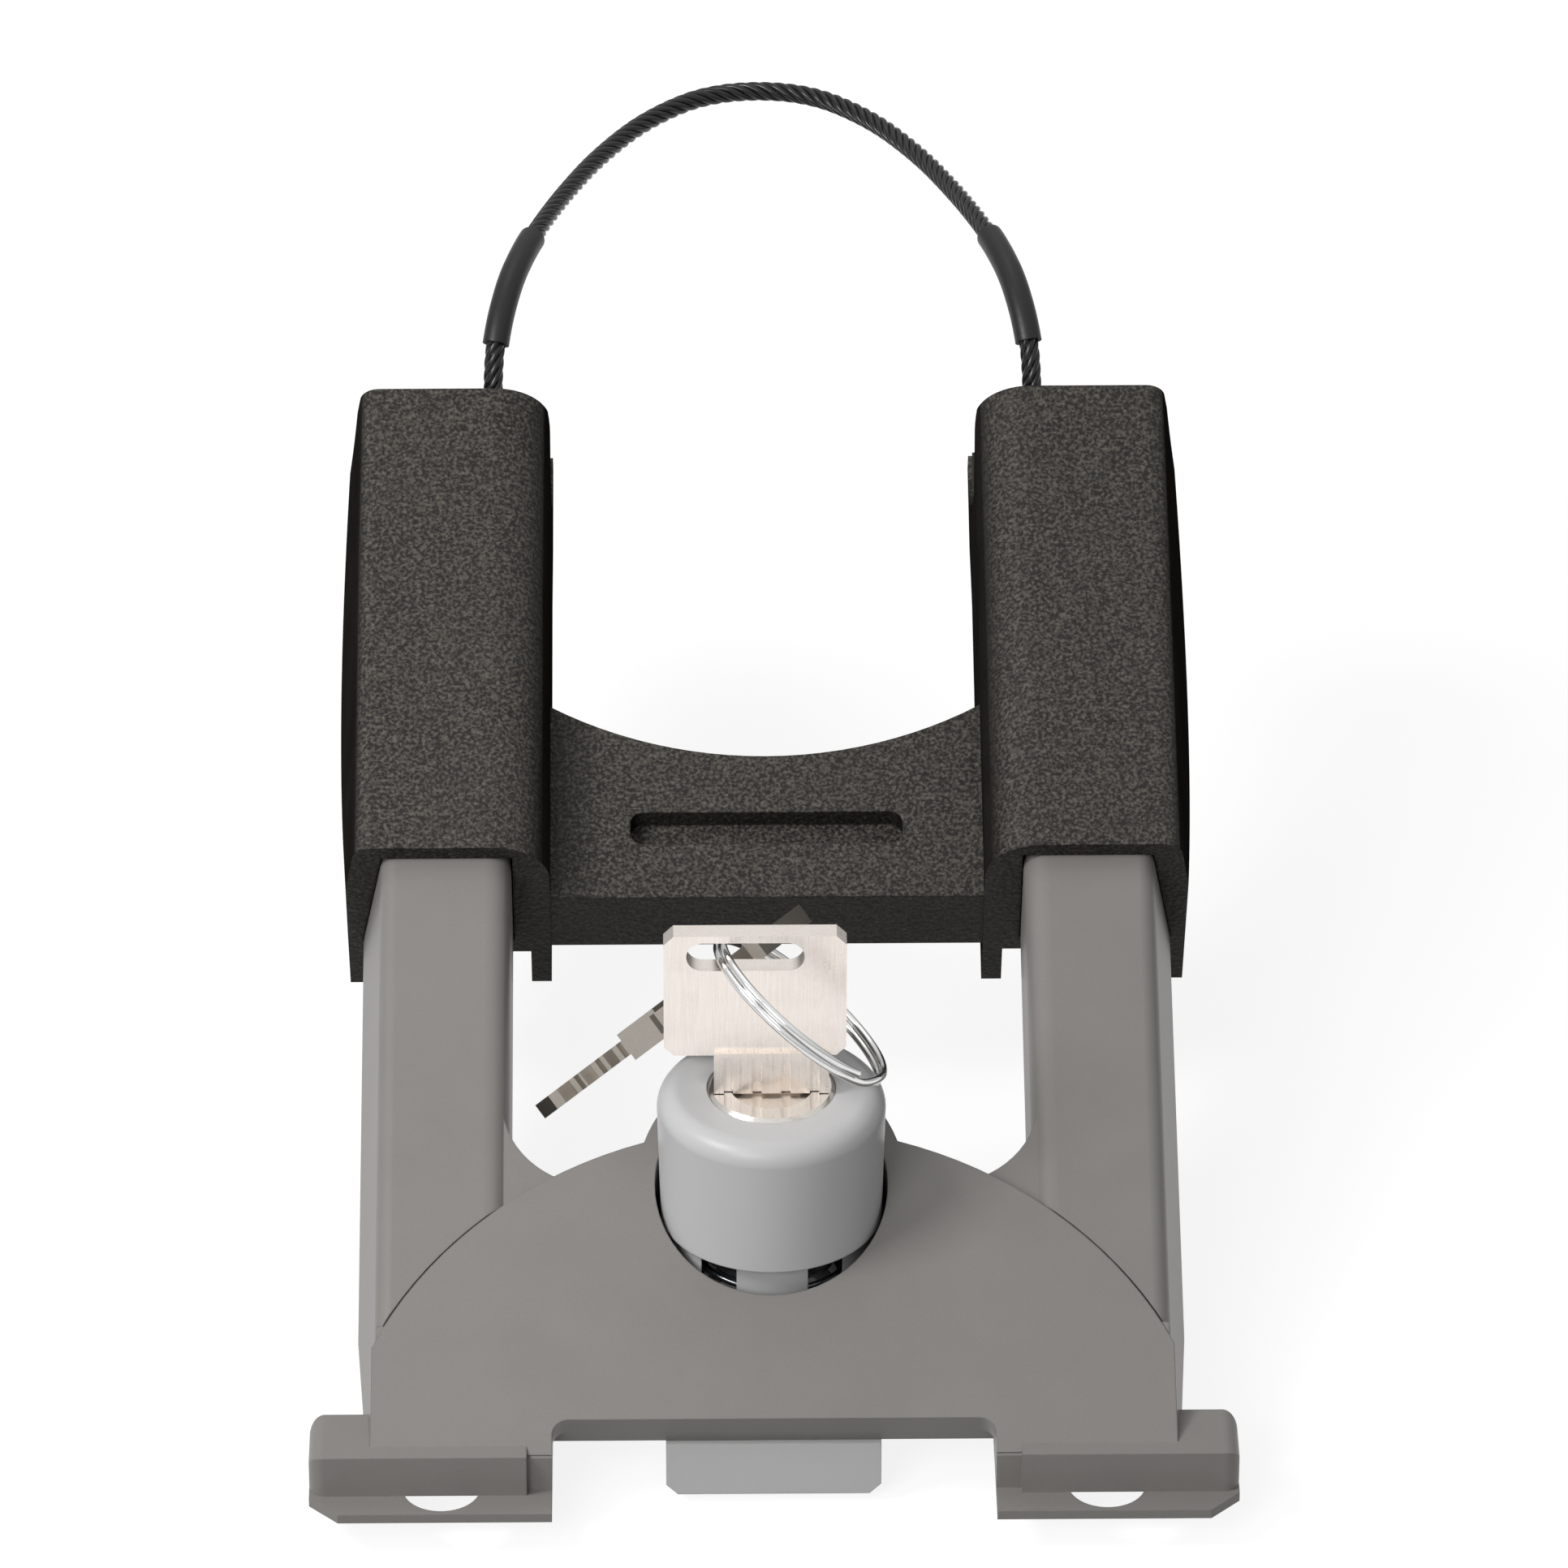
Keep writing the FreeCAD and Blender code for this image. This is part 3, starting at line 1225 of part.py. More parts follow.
def ring_point(degrees):
    """A point on the middle line of the split ring."""
    angle = math.radians(degrees)
    spoke = RING_LONG * math.cos(angle) + RING_DEEP * math.sin(angle)
    return RING_CENTRE + spoke * S.ring_radius.number


def make_key_ring():
    """The split ring: two turns of wire side by side."""
    normal = RING_LONG.cross(RING_DEEP)
    turns = []
    for side in (1, -1):
        turn = doc.addObject("Part::Torus", f"ring_turn_{len(turns)}")
        bind(turn, "Radius1", S.ring_radius)
        bind(turn, "Radius2", S.ring_wire)
        offset = normal * (side * S.ring_wire.number * 0.98)
        turn.Placement = Placement(RING_CENTRE + offset, Rotation(Vector(0, 0, 1), normal))
        turns.append(turn)
    return fuse("key_ring", turns)


def make_spare_key():
    """A second key, hung on the ring behind the first and seen nearly edge on."""
    spare = make_key("spare_key")
    tilt = math.radians(S.spare_tilt_angle.number)
    up = Vector(math.sin(tilt), 0, math.cos(tilt))
    edge = (TOWARDS - up * TOWARDS.dot(up)).normalize()
    turned = Rotation(edge, up.cross(edge), up, "ZXY")
    held = turned.multVec(Vector(S.spare_hang.number, 0, -S.key_slot_level.number))
    spare.setExpression("Placement.Base.y", None)
    spare.Placement = Placement(ring_point(S.spare_place_angle.number) - held, turned)
    return spare


export = []


def keep(solid, label, twin=False):
    """Lists a piece for export, with its twin on the left where it has one."""
    solid.Label = label
    export.append(solid)
    if twin:
        other = label.replace("_right", "_left")
        pair = mirror(other, solid)
        pair.Label = other
        export.append(pair)


def main():
    keep(make_extension_frame(), "extension_frame")
    keep(make_bracket_body(), "bracket_body")
    keep(make_saddle_pad(), "saddle_pad_right", twin=True)
    loop, guard = make_cable()
    keep(loop, "cable_loop")
    keep(guard, "cable_guard_right", twin=True)
    tail, ferrule, bolt = make_cable_end()
    keep(tail, "cable_tail_right", twin=True)
    keep(ferrule, "cable_ferrule_right", twin=True)
    keep(bolt, "tension_bolt_right", twin=True)
    keep(make_arm_screw(), "arm_screw_right", twin=True)
    keep(make_release_button(), "release_button")
    keep(make_lock_barrel(), "lock_barrel")
    keep(make_barrel_clip(), "barrel_clip")
    keep(make_lock_plug(), "lock_plug")
    keep(make_lock_cam(), "lock_cam")
    keep(make_cam_screw(), "cam_screw")
    keep(make_spring_plate(), "spring_plate")
    keep(make_return_spring(), "return_spring")
    keep(make_latch_slider(), "latch_slider")
    keep(make_key("key"), "key")
    keep(make_key_ring(), "key_ring")
    keep(make_spare_key(), "spare_key")
    doc.recompute()
    for item in doc.Objects:
        if "Invalid" in item.State or "Error" in item.State:
            raise RuntimeError(f"{item.Name} is {item.State}")
    os.makedirs("parts", exist_ok=True)
    for solid in export:
        shape = solid.Shape
        if shape.isNull() or not shape.isValid():
            raise RuntimeError(f"{solid.Label} has no valid shape")
        print(f"{solid.Label}: {len(shape.Solids)} solid, {shape.Volume:.1f} mm3")
        shape.exportStep(f"parts/{solid.Label}.step")


main()
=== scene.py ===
"""Looks, light and camera for a lockable bag mount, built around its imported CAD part.

Sizes are in millimetres and angles in degrees, unless a comment says otherwise.
"""

import json
import logging
import math
from dataclasses import dataclass, field
from enum import Enum

import bpy
from mathutils import Matrix, Vector


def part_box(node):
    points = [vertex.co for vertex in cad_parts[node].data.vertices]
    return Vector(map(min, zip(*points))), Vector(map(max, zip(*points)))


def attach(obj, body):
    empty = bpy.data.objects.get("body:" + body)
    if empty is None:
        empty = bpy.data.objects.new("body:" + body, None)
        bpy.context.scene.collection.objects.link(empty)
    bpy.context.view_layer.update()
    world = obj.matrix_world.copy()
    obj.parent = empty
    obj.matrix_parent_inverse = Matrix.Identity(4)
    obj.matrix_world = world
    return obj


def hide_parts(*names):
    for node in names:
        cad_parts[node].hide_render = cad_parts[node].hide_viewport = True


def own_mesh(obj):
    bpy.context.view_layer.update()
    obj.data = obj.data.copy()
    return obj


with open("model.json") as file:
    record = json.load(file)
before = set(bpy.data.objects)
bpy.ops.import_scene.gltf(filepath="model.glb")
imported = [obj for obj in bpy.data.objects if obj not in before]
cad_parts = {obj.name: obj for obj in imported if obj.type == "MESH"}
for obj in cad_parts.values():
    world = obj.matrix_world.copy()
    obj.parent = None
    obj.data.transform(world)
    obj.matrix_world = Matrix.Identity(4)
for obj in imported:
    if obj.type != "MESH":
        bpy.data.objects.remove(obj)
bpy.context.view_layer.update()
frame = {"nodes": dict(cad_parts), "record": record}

Point = tuple[float, float, float]

LOG = logging.getLogger("bag_mount")
MM = 0.001
WHITE = "ffffff"

# Noise seldom leaves the first span, and stays well inside the second.
NOISE_SPAN = (0.3, 0.7)
WIDE_SPAN = (0.25, 0.75)

# How each kind of noise is built up from its octaves.
PATCH_NOISE = {"Detail": 2.0, "Roughness": 0.55}
GRAIN_NOISE = {"Detail": 2.0, "Roughness": 0.65}
PAINTED_GLINT_NOISE = {"Detail": 2.0, "Roughness": 0.6}
SCRATCH_NOISE = {"Detail": 3.0, "Roughness": 0.6}
STAIN_NOISE = {"Detail": 4.0, "Roughness": 0.6}
PAPER_NOISE = {"Detail": 3.0, "Roughness": 0.55}


class Axis(Enum):
    """The direction in which a surface was brushed, drawn or turned."""

    ACROSS = (1.0, 0.0, 0.0)
    UP = (0.0, 0.0, 1.0)


def srgb(code: str) -> tuple[float, float, float, float]:
    """Turns a colour's hex code into the linear values a shader needs.

    Args:
        code: Six hex digits, two each for red, green and blue.

    Returns:
        Linear red, green, blue and an alpha of one.
    """
    parts = [int(code[start:start + 2], 16) / 255 for start in (0, 2, 4)]
    linear = [c / 12.92 if c <= 0.04045 else ((c + 0.055) / 1.055) ** 2.4 for c in parts]
    return (*linear, 1.0)


def put(name: str, data: bpy.types.ID) -> bpy.types.Object:
    """Makes an object at the origin and links it to the scene.

    Args:
        name: The object's name.
        data: Its mesh, curve, light or camera.

    Returns:
        The object.
    """
    made = bpy.data.objects.new(name, data)
    bpy.context.scene.collection.objects.link(made)
    return made


class Tree:
    """A node tree, with one short call that adds a node and joins it up."""

    def __init__(self, tree: bpy.types.NodeTree) -> None:
        """Takes a tree over and empties it."""
        self.tree = tree
        self.tree.nodes.clear()

    def add(self, kind: str, *values: object, named: dict | None = None,
            **settings: object) -> bpy.types.Node:
        """Adds a node with its settings and links.

        Args:
            kind: The node's type name.
            values: Its first inputs, in order: each a constant, an output socket, or a node,
                which stands for its first output.
            named: Other inputs, by name or number.
            settings: Properties of the node itself.

        Returns:
            The new node.
        """
        node = self.tree.nodes.new(kind)
        for key, value in settings.items():
            setattr(node, key, value)
        for key, value in [*enumerate(values), *(named or {}).items()]:
            if isinstance(value, bpy.types.Node):
                value = value.outputs[0]
            if isinstance(value, bpy.types.NodeSocket):
                self.tree.links.new(value, node.inputs[key])
            else:
                node.inputs[key].default_value = value
        return node


class Paint(Tree):
    """A material's nodes."""

    def __init__(self, name: str) -> None:
        """Starts an empty material.

        Args:
            name: The material's name.
        """
        self.material = bpy.data.materials.new(name)
        self.material.use_nodes = True
        super().__init__(self.material.node_tree)

    def place(self, stretch: Point = (1.0, 1.0, 1.0)) -> bpy.types.Node:
        """Object coordinates in millimetres.

        Args:
            stretch: How many times longer the pattern is along each axis.

        Returns:
            The node that gives the coordinate.
        """
        source = self.add("ShaderNodeTexCoord")
        scale = tuple(1 / (MM * size) for size in stretch)
        return self.add("ShaderNodeMapping",
                        named={"Vector": source.outputs["Object"], "Scale": scale})

    def close(self, shader: bpy.types.Node) -> bpy.types.Material:
        """Joins the last shader to the output and gives the material back."""
        self.add("ShaderNodeOutputMaterial", shader)
        return self.material


class Growth(Tree):
    """A tree with named sizes that grows a round wire along a line."""

    def __init__(self, name: str, sizes: dict[str, float]) -> None:
        """Starts a tree with one geometry input and one input for each size.

        Args:
            name: The tree's name.
            sizes: The value of each named size; whole numbers become whole-number inputs.
        """
        super().__init__(bpy.data.node_groups.new(name, "GeometryNodeTree"))
        self.sizes = sizes
        self.identifiers = {}
        for way in ("OUTPUT", "INPUT"):
            self.tree.interface.new_socket("Geometry", in_out=way,
                                           socket_type="NodeSocketGeometry")
        for label, value in sizes.items():
            kind = "NodeSocketInt" if isinstance(value, int) else "NodeSocketFloat"
            socket = self.tree.interface.new_socket(label, in_out="INPUT", socket_type=kind)
            self.identifiers[label] = socket.identifier
        self.given = self.add("NodeGroupInput").outputs

    def grow(self, line: bpy.types.Node, wire: bpy.types.NodeSocket, sides: int,
             finish: bpy.types.Material,
             source: bpy.types.Curve | None = None) -> bpy.types.Mesh:
        """Draws the wire, ends the tree and turns it into a mesh.

        Args:
            line: The wire's middle line.
            wire: The wire's radius.
            sides: The corners of the wire's section.
            finish: The wire's material.
            source: The curve that the tree starts from, if it needs one.

        Returns:
            The mesh.
        """
        section = self.add("GeometryNodeCurvePrimitiveCircle",
                           named={"Resolution": sides, "Radius": wire})
        tube = self.add("GeometryNodeCurveToMesh", named={
            "Curve": line, "Profile Curve": section, "Fill Caps": True})
        smooth = self.add("GeometryNodeSetShadeSmooth", tube)
        real = self.add("GeometryNodeRealizeInstances", smooth)
        coated = self.add("GeometryNodeSetMaterial",
                          named={"Geometry": real, "Material": finish})
        self.add("NodeGroupOutput", coated)
        name = self.tree.name
        holder = put(name, source or bpy.data.meshes.new(name))
        modifier = holder.modifiers.new(name, "NODES")
        modifier.node_group = self.tree
        for label, value in self.sizes.items():
            modifier[self.identifiers[label]] = value
        bpy.context.view_layer.update()
        graph = bpy.context.evaluated_depsgraph_get()
        mesh = bpy.data.meshes.new_from_object(holder.evaluated_get(graph))
        holder.modifiers.remove(modifier)
        bpy.data.objects.remove(holder)
        return mesh


@dataclass(frozen=True)
class Moulded:
    """Moulded plastic or rubber, with the fine, even grain that its mould leaves.

    Cells are the pebbles of a leather-grained mould. Glints are painted highlights: pale dots
    mixed into the colour where the grain's facets face the eye, and the sheen fades with them
    where the surface turns away.
    """

    name: str
    colour: str
    roughness: float = 0.45
    # Real mould grain is under 0.1 mm. It is drawn as coarse as it needs to show.
    grain_size: float = 0.35
    grain_depth: float = 0.01
    mottle: float = 0.04
    # Colour of the painted glints: highlights of the grain, mixed into the base colour.
    flecks: str | None = None
    fleck_size: float = 0.5
    cell_size: float = 0.0
    cell_depth: float = 0.0
    edge: float = 0.25
    sheen: float = 0.4
    index: float = 1.49
    patch_size: float = 11.11
    patch_share: float = 0.45
    grain_share: float = 0.5
    cell_span: tuple[float, float] = (0.1, 0.75)
    fleck_span: tuple[float, float] = (0.42, 0.72)
    turned_span: tuple[float, float] = (0.3, 0.6)
    smoother: float = 0.05
    rougher: float = 0.07

    def build(self) -> bpy.types.Material:
        """Builds the material.

        Returns:
            The material.
        """
        paint = Paint(self.name)
        place = paint.place()
        broad = paint.add("ShaderNodeTexNoise", named={
            "Vector": place, "Scale": 1 / self.patch_size, **PATCH_NOISE})
        fine = paint.add("ShaderNodeTexNoise", named={
            "Vector": place, "Scale": 1 / self.grain_size, **GRAIN_NOISE})
        base = srgb(self.colour)[:3]
        darker = (*(c * (1 - self.mottle * 2) for c in base), 1.0)
        lighter = (*(min(c * (1 + self.mottle * 2), 1.0) for c in base), 1.0)
        part = paint.add("ShaderNodeMath", broad, self.patch_share, operation="MULTIPLY")
        rest = paint.add("ShaderNodeMath", fine, 1 - self.patch_share, operation="MULTIPLY")
        both = paint.add("ShaderNodeMath", part, rest, operation="ADD")
        mixed = paint.add("ShaderNodeMapRange", both, *NOISE_SPAN, 0.0, 1.0)
        colour = paint.add("ShaderNodeMix", mixed, named={6: darker, 7: lighter},
                           data_type="RGBA").outputs[2]
        height = fine
        if self.cell_size > 0:
            cells = paint.add("ShaderNodeTexVoronoi", feature="F1", named={
                "Vector": place, "Scale": 1 / self.cell_size, "Randomness": 1.0})
            raised = paint.add("ShaderNodeMapRange", cells, *self.cell_span, 1.0, 0.0)
            low = paint.add("ShaderNodeMath", fine, self.grain_share, operation="MULTIPLY")
            high = paint.add("ShaderNodeMath", raised, self.cell_depth, operation="MULTIPLY")
            height = paint.add("ShaderNodeMath", low, high, operation="ADD")
        sheen = self.sheen
        # Painted highlights: pale glints mixed into the base colour where the surface faces
        # the eye; they and the sheen fade where it turns away.
        if self.flecks is not None:
            turned = paint.add("ShaderNodeLayerWeight", named={"Blend": 0.5}).outputs["Facing"]
            kept = paint.add("ShaderNodeMapRange", turned, *self.turned_span, 1.0, 0.0)
            spots = paint.add("ShaderNodeTexNoise", named={
                "Vector": place, "Scale": 1 / self.fleck_size, **PAINTED_GLINT_NOISE})
            lit = paint.add("ShaderNodeMapRange", spots, *self.fleck_span, 0.0, 1.0)
            shown = paint.add("ShaderNodeMath", kept, lit, operation="MULTIPLY")
            colour = paint.add("ShaderNodeMix", shown,
                               named={6: colour, 7: srgb(self.flecks)},
                               data_type="RGBA").outputs[2]
            sheen = paint.add("ShaderNodeMath", kept, self.sheen, operation="MULTIPLY")
        rough = paint.add("ShaderNodeMapRange", fine, *WIDE_SPAN,
                          self.roughness - self.smoother, self.roughness + self.rougher)
        worn = paint.add("ShaderNodeBevel", self.edge * MM, samples=2)
        relief = paint.add("ShaderNodeBump", named={
            "Height": height, "Strength": 1.0, "Distance": self.grain_depth * MM,
            "Normal": worn})
        return paint.close(paint.add("ShaderNodeBsdfPrincipled", named={
            "Base Color": colour, "Roughness": rough, "IOR": self.index,
            "Specular IOR Level": sheen, "Normal": relief}))


@dataclass(frozen=True)
class Plated:
    """Plated metal: polished, brushed, turned or stamped before the plate went on."""

    name: str
    colour: str
    roughness: float = 0.25
    brushed: Axis | None = None
    # Real brush lines are about 0.02 mm wide. They are drawn as coarse as they need to show.
    brush_width: float = 0.12
    brush_depth: float = 0.003
    brush_stretch: float = 40.0
    pit_size: float = 0.25
    pit_depth: float = 0.004
    tarnish: str = "8d8378"
    tarnish_share: float = 0.12
    stain_size: float = 4.545
    stain_span: tuple[float, float] = (0.5, 0.8)
    streaks: tuple[float, float] = (0.9, 1.06)
    brush_roughness: tuple[float, float] = (-0.05, 0.06)
    pit_roughness: tuple[float, float] = (-0.02, 0.04)

    def build(self) -> bpy.types.Material:
        """Builds the material.

        Returns:
            The material.
        """
        paint = Paint(self.name)
        place = paint.place()
        way = self.brushed.value if self.brushed else (0.0, 0.0, 0.0)
        along = paint.place(tuple(self.brush_stretch if part else 1.0 for part in way))
        lines = paint.add("ShaderNodeTexNoise", named={
            "Vector": along, "Scale": 1 / self.brush_width, **SCRATCH_NOISE})
        pits = paint.add("ShaderNodeTexNoise", named={
            "Vector": place, "Scale": 1 / self.pit_size, **SCRATCH_NOISE})
        stain = paint.add("ShaderNodeTexNoise", named={
            "Vector": place, "Scale": 1 / self.stain_size, **STAIN_NOISE})
        shown = paint.add("ShaderNodeMapRange", stain, *self.stain_span, 0.0,
                          self.tarnish_share)
        tint = paint.add("ShaderNodeMix", shown,
                         named={6: srgb(self.colour), 7: srgb(self.tarnish)},
                         data_type="RGBA").outputs[2]
        streaked = paint.add("ShaderNodeMapRange", lines, *NOISE_SPAN, *self.streaks)
        shade = paint.add("ShaderNodeCombineColor", streaked, streaked, streaked)
        colour = paint.add("ShaderNodeMix", 1.0, named={6: tint, 7: shade},
                           data_type="RGBA", blend_type="MULTIPLY").outputs[2]
        smooth, rough = (self.roughness + change for change in self.brush_roughness)
        brushed = paint.add("ShaderNodeMapRange", lines, *NOISE_SPAN, smooth, rough)
        pitted = paint.add("ShaderNodeMapRange", pits, *NOISE_SPAN, *self.pit_roughness)
        both = paint.add("ShaderNodeMath", brushed, pitted, operation="ADD", use_clamp=True)
        scratched = paint.add("ShaderNodeBump", named={
            "Height": lines, "Strength": 1.0, "Distance": self.brush_depth * MM})
        relief = paint.add("ShaderNodeBump", named={
            "Height": pits, "Strength": 1.0, "Distance": self.pit_depth * MM,
            "Normal": scratched})
        return paint.close(paint.add("ShaderNodeBsdfPrincipled", named={
            "Base Color": colour, "Metallic": 1.0, "Roughness": both, "Normal": relief}))


@dataclass(frozen=True)
class CoatedRope:
    """The rope's core and tails under a dark coat: the strands show as slanted ribs, in bump
    and in a pale painted highlight.

    The ribs follow the piece's own UV map, which runs along the rope and round it.
    """

    name: str
    colour: str
    # The ribs' pale colour: a painted highlight along each strand.
    strand: str
    length: float
    pitch: float = 3.4
    strands: int = 6
    depth: float = 0.09
    roughness: float = 0.22
    duller: float = 0.12
    index: float = 1.5
    grain_size: float = 0.25
    rib_span: tuple[float, float] = (0.75, 1.0)
    rib_share: float = 0.5
    coat_weight: float = 0.6
    coat_roughness: float = 0.12

    def build(self) -> bpy.types.Material:
        """Builds the material.

        Returns:
            The material.
        """
        paint = Paint(self.name)
        source = paint.add("ShaderNodeTexCoord")
        parts = paint.add("ShaderNodeSeparateXYZ", source.outputs["UV"])
        along = paint.add("ShaderNodeMath", parts.outputs["X"], self.length / self.pitch,
                          operation="MULTIPLY")
        around = paint.add("ShaderNodeMath", parts.outputs["Y"], float(self.strands),
                           operation="MULTIPLY")
        ribs = []
        for slant in ("ADD", "SUBTRACT"):
            turned = paint.add("ShaderNodeMath", along, around, operation=slant)
            share = paint.add("ShaderNodeMath", turned, operation="FRACT")
            ribs.append(paint.add("ShaderNodeMath", share, 0.5, operation="PINGPONG"))
        crossed = paint.add("ShaderNodeMath", *ribs, operation="MAXIMUM")
        weave = paint.add("ShaderNodeMath", crossed, 2.0, operation="MULTIPLY")
        fine = paint.add("ShaderNodeTexNoise", named={
            "Vector": paint.place(), "Scale": 1 / self.grain_size, **PATCH_NOISE})
        # The pale rib colour is a painted highlight along each strand.
        shown = paint.add("ShaderNodeMapRange", weave, *self.rib_span, 0.0, self.rib_share)
        colour = paint.add("ShaderNodeMix", shown,
                           named={6: srgb(self.colour), 7: srgb(self.strand)},
                           data_type="RGBA").outputs[2]
        rough = paint.add("ShaderNodeMapRange", fine, *NOISE_SPAN, self.roughness,
                          self.roughness + self.duller)
        relief = paint.add("ShaderNodeBump", named={
            "Height": weave, "Strength": 1.0, "Distance": self.depth * MM})
        return paint.close(paint.add("ShaderNodeBsdfPrincipled", named={
            "Base Color": colour, "Roughness": rough, "IOR": self.index,
            "Coat Weight": self.coat_weight, "Coat Roughness": self.coat_roughness,
            "Normal": relief}))


class Finish(Enum):
    """Every finish on the mount. A name that is a material slot of the record serves it."""

    # Black with a dry, pebbled grain, and faint painted glints on faces turned to the eye.
    FRAME_BLACK = Moulded("black glass-filled nylon, leather-grained mould", "242220", 0.52,
                          grain_size=0.35, grain_depth=0.07, mottle=0.2, flecks="67635c",
                          fleck_size=0.45, cell_size=0.8, cell_depth=0.8, edge=0.5, sheen=0.22)
    # Warm mid grey with a soft, even sheen and hardly any grain.
    BRACKET_GREY = Moulded("grey nylon, satin spark-eroded mould", "868380", 0.42,
                           grain_size=0.22, grain_depth=0.012, mottle=0.03)
    # Light grey and waxy, with one broad highlight round the cap.
    BUTTON_GREY = Moulded("light grey acetal, polished mould", "c8c8c9", 0.34,
                          grain_size=0.2, grain_depth=0.004, mottle=0.012)
    # The cap's grey, painted lighter as painted light where the tab sits in shade under the
    # plate, and a little flatter than the cap.
    LATCH_GREY = Moulded("light grey acetal, fine satin mould", "d2d2d2", 0.4,
                         grain_size=0.2, grain_depth=0.005, mottle=0.015)
    # Dull black that gives back almost no light.
    PAD_RUBBER = Moulded("black rubber, compression moulded", "1b1b1b", 0.7,
                         grain_size=0.18, grain_depth=0.02, mottle=0.06)
    # Glossy black, so that each strand carries a thin line of light.
    ROPE_STRAND = Moulded("black vinyl over a steel strand, extruded", "1c1c1e", 0.2,
                          grain_size=0.3, grain_depth=0.003, mottle=0.05, edge=0.02)
    # Plain black with a soft line of light along it.
    GUARD_TUBE = Moulded("black polyethylene tube, extruded", "151515", 0.4,
                         grain_size=0.4, grain_depth=0.006, mottle=0.05)
    # Dark grey and smooth, out of sight under the button.
    PLATE_PLASTIC = Moulded("dark grey acetal, moulded", "2c2c2c", 0.5)
    # Bluish white metal with a soft reflection.
    BOLT_STEEL = Plated("zinc-plated steel, cold headed", "a9abb0", 0.32)
    # The same plate over fine turning lines.
    FERRULE_STEEL = Plated("zinc-plated steel, turned", "9fa1a5", 0.3, brushed=Axis.ACROSS)
    # A near mirror, brightest at the barrel's rim.
    BARREL_CHROME = Plated("chromed zinc, die cast and turned", "dcd8d3", 0.14,
                           brush_depth=0.0005, pit_depth=0.0005, tarnish_share=0.05)
    # Warm silver, frosted by the grinding of the face.
    PLUG_NICKEL = Plated("nickel-plated brass, ground face", "d8d0c8", 0.34,
                         pit_size=0.2, pit_depth=0.02)
    # Grey metal with a blurred reflection.
    CAM_STEEL = Plated("spring steel, stamped and tumbled", "9a9ca0", 0.34)
    # Grey wire with one line of light on each turn.
    SPRING_STEEL = Plated("music wire, drawn", "8f9196", 0.28)
    # Pale, warm silver with upright brush lines and a few duller patches.
    KEY_NICKEL = Plated("nickel-plated brass, stamped", "f3ebe4", 0.3, brushed=Axis.UP,
                        brush_depth=0.002, tarnish="c9b8ac", tarnish_share=0.2)
    # The same plate, drawn darker and duller, a dull grey brown.
    SPARE_NICKEL = Plated("nickel-plated brass, stamped, darker and duller", "a59f97", 0.36,
                          brush_depth=0.002, tarnish="7d7770", tarnish_share=0.3)
    # A mirror that turns the wire into bright and dark lines.
    RING_CHROME = Plated("chromed spring wire, drawn and wound", "e2e2e2", 0.12,
                         brush_depth=0.0003, pit_depth=0.0003, tarnish_share=0.05)


@dataclass
class Mouldings:
    """The pieces that keep their CAD shape and take a finish by material slot."""

    drawn_slots: tuple[str, ...] = ("cable_coat", "ring_chrome", "spring_steel")
    own_finish: dict[str, Finish] = field(
        default_factory=lambda: {"spare_key": Finish.SPARE_NICKEL})
    made: dict[Finish, bpy.types.Material] = field(default_factory=dict)

    def material(self, finish: Finish) -> bpy.types.Material:
        """The material of a finish, built when it is first asked for.

        Args:
            finish: The finish.

        Returns:
            The material.
        """
        if finish not in self.made:
            self.made[finish] = finish.value.build()
        return self.made[finish]

    def build(self) -> None:
        """Gives each CAD node its finish, except those that other classes draw."""
        for entry in frame["record"]["subparts"]:
            slot = entry["material_slot"]
            if slot in self.drawn_slots:
                continue
            finish = self.own_finish.get(entry["node"]) or Finish[slot.upper()]
            node = frame["nodes"][entry["node"]]
            node.data.materials.clear()
            node.data.materials.append(self.material(finish))


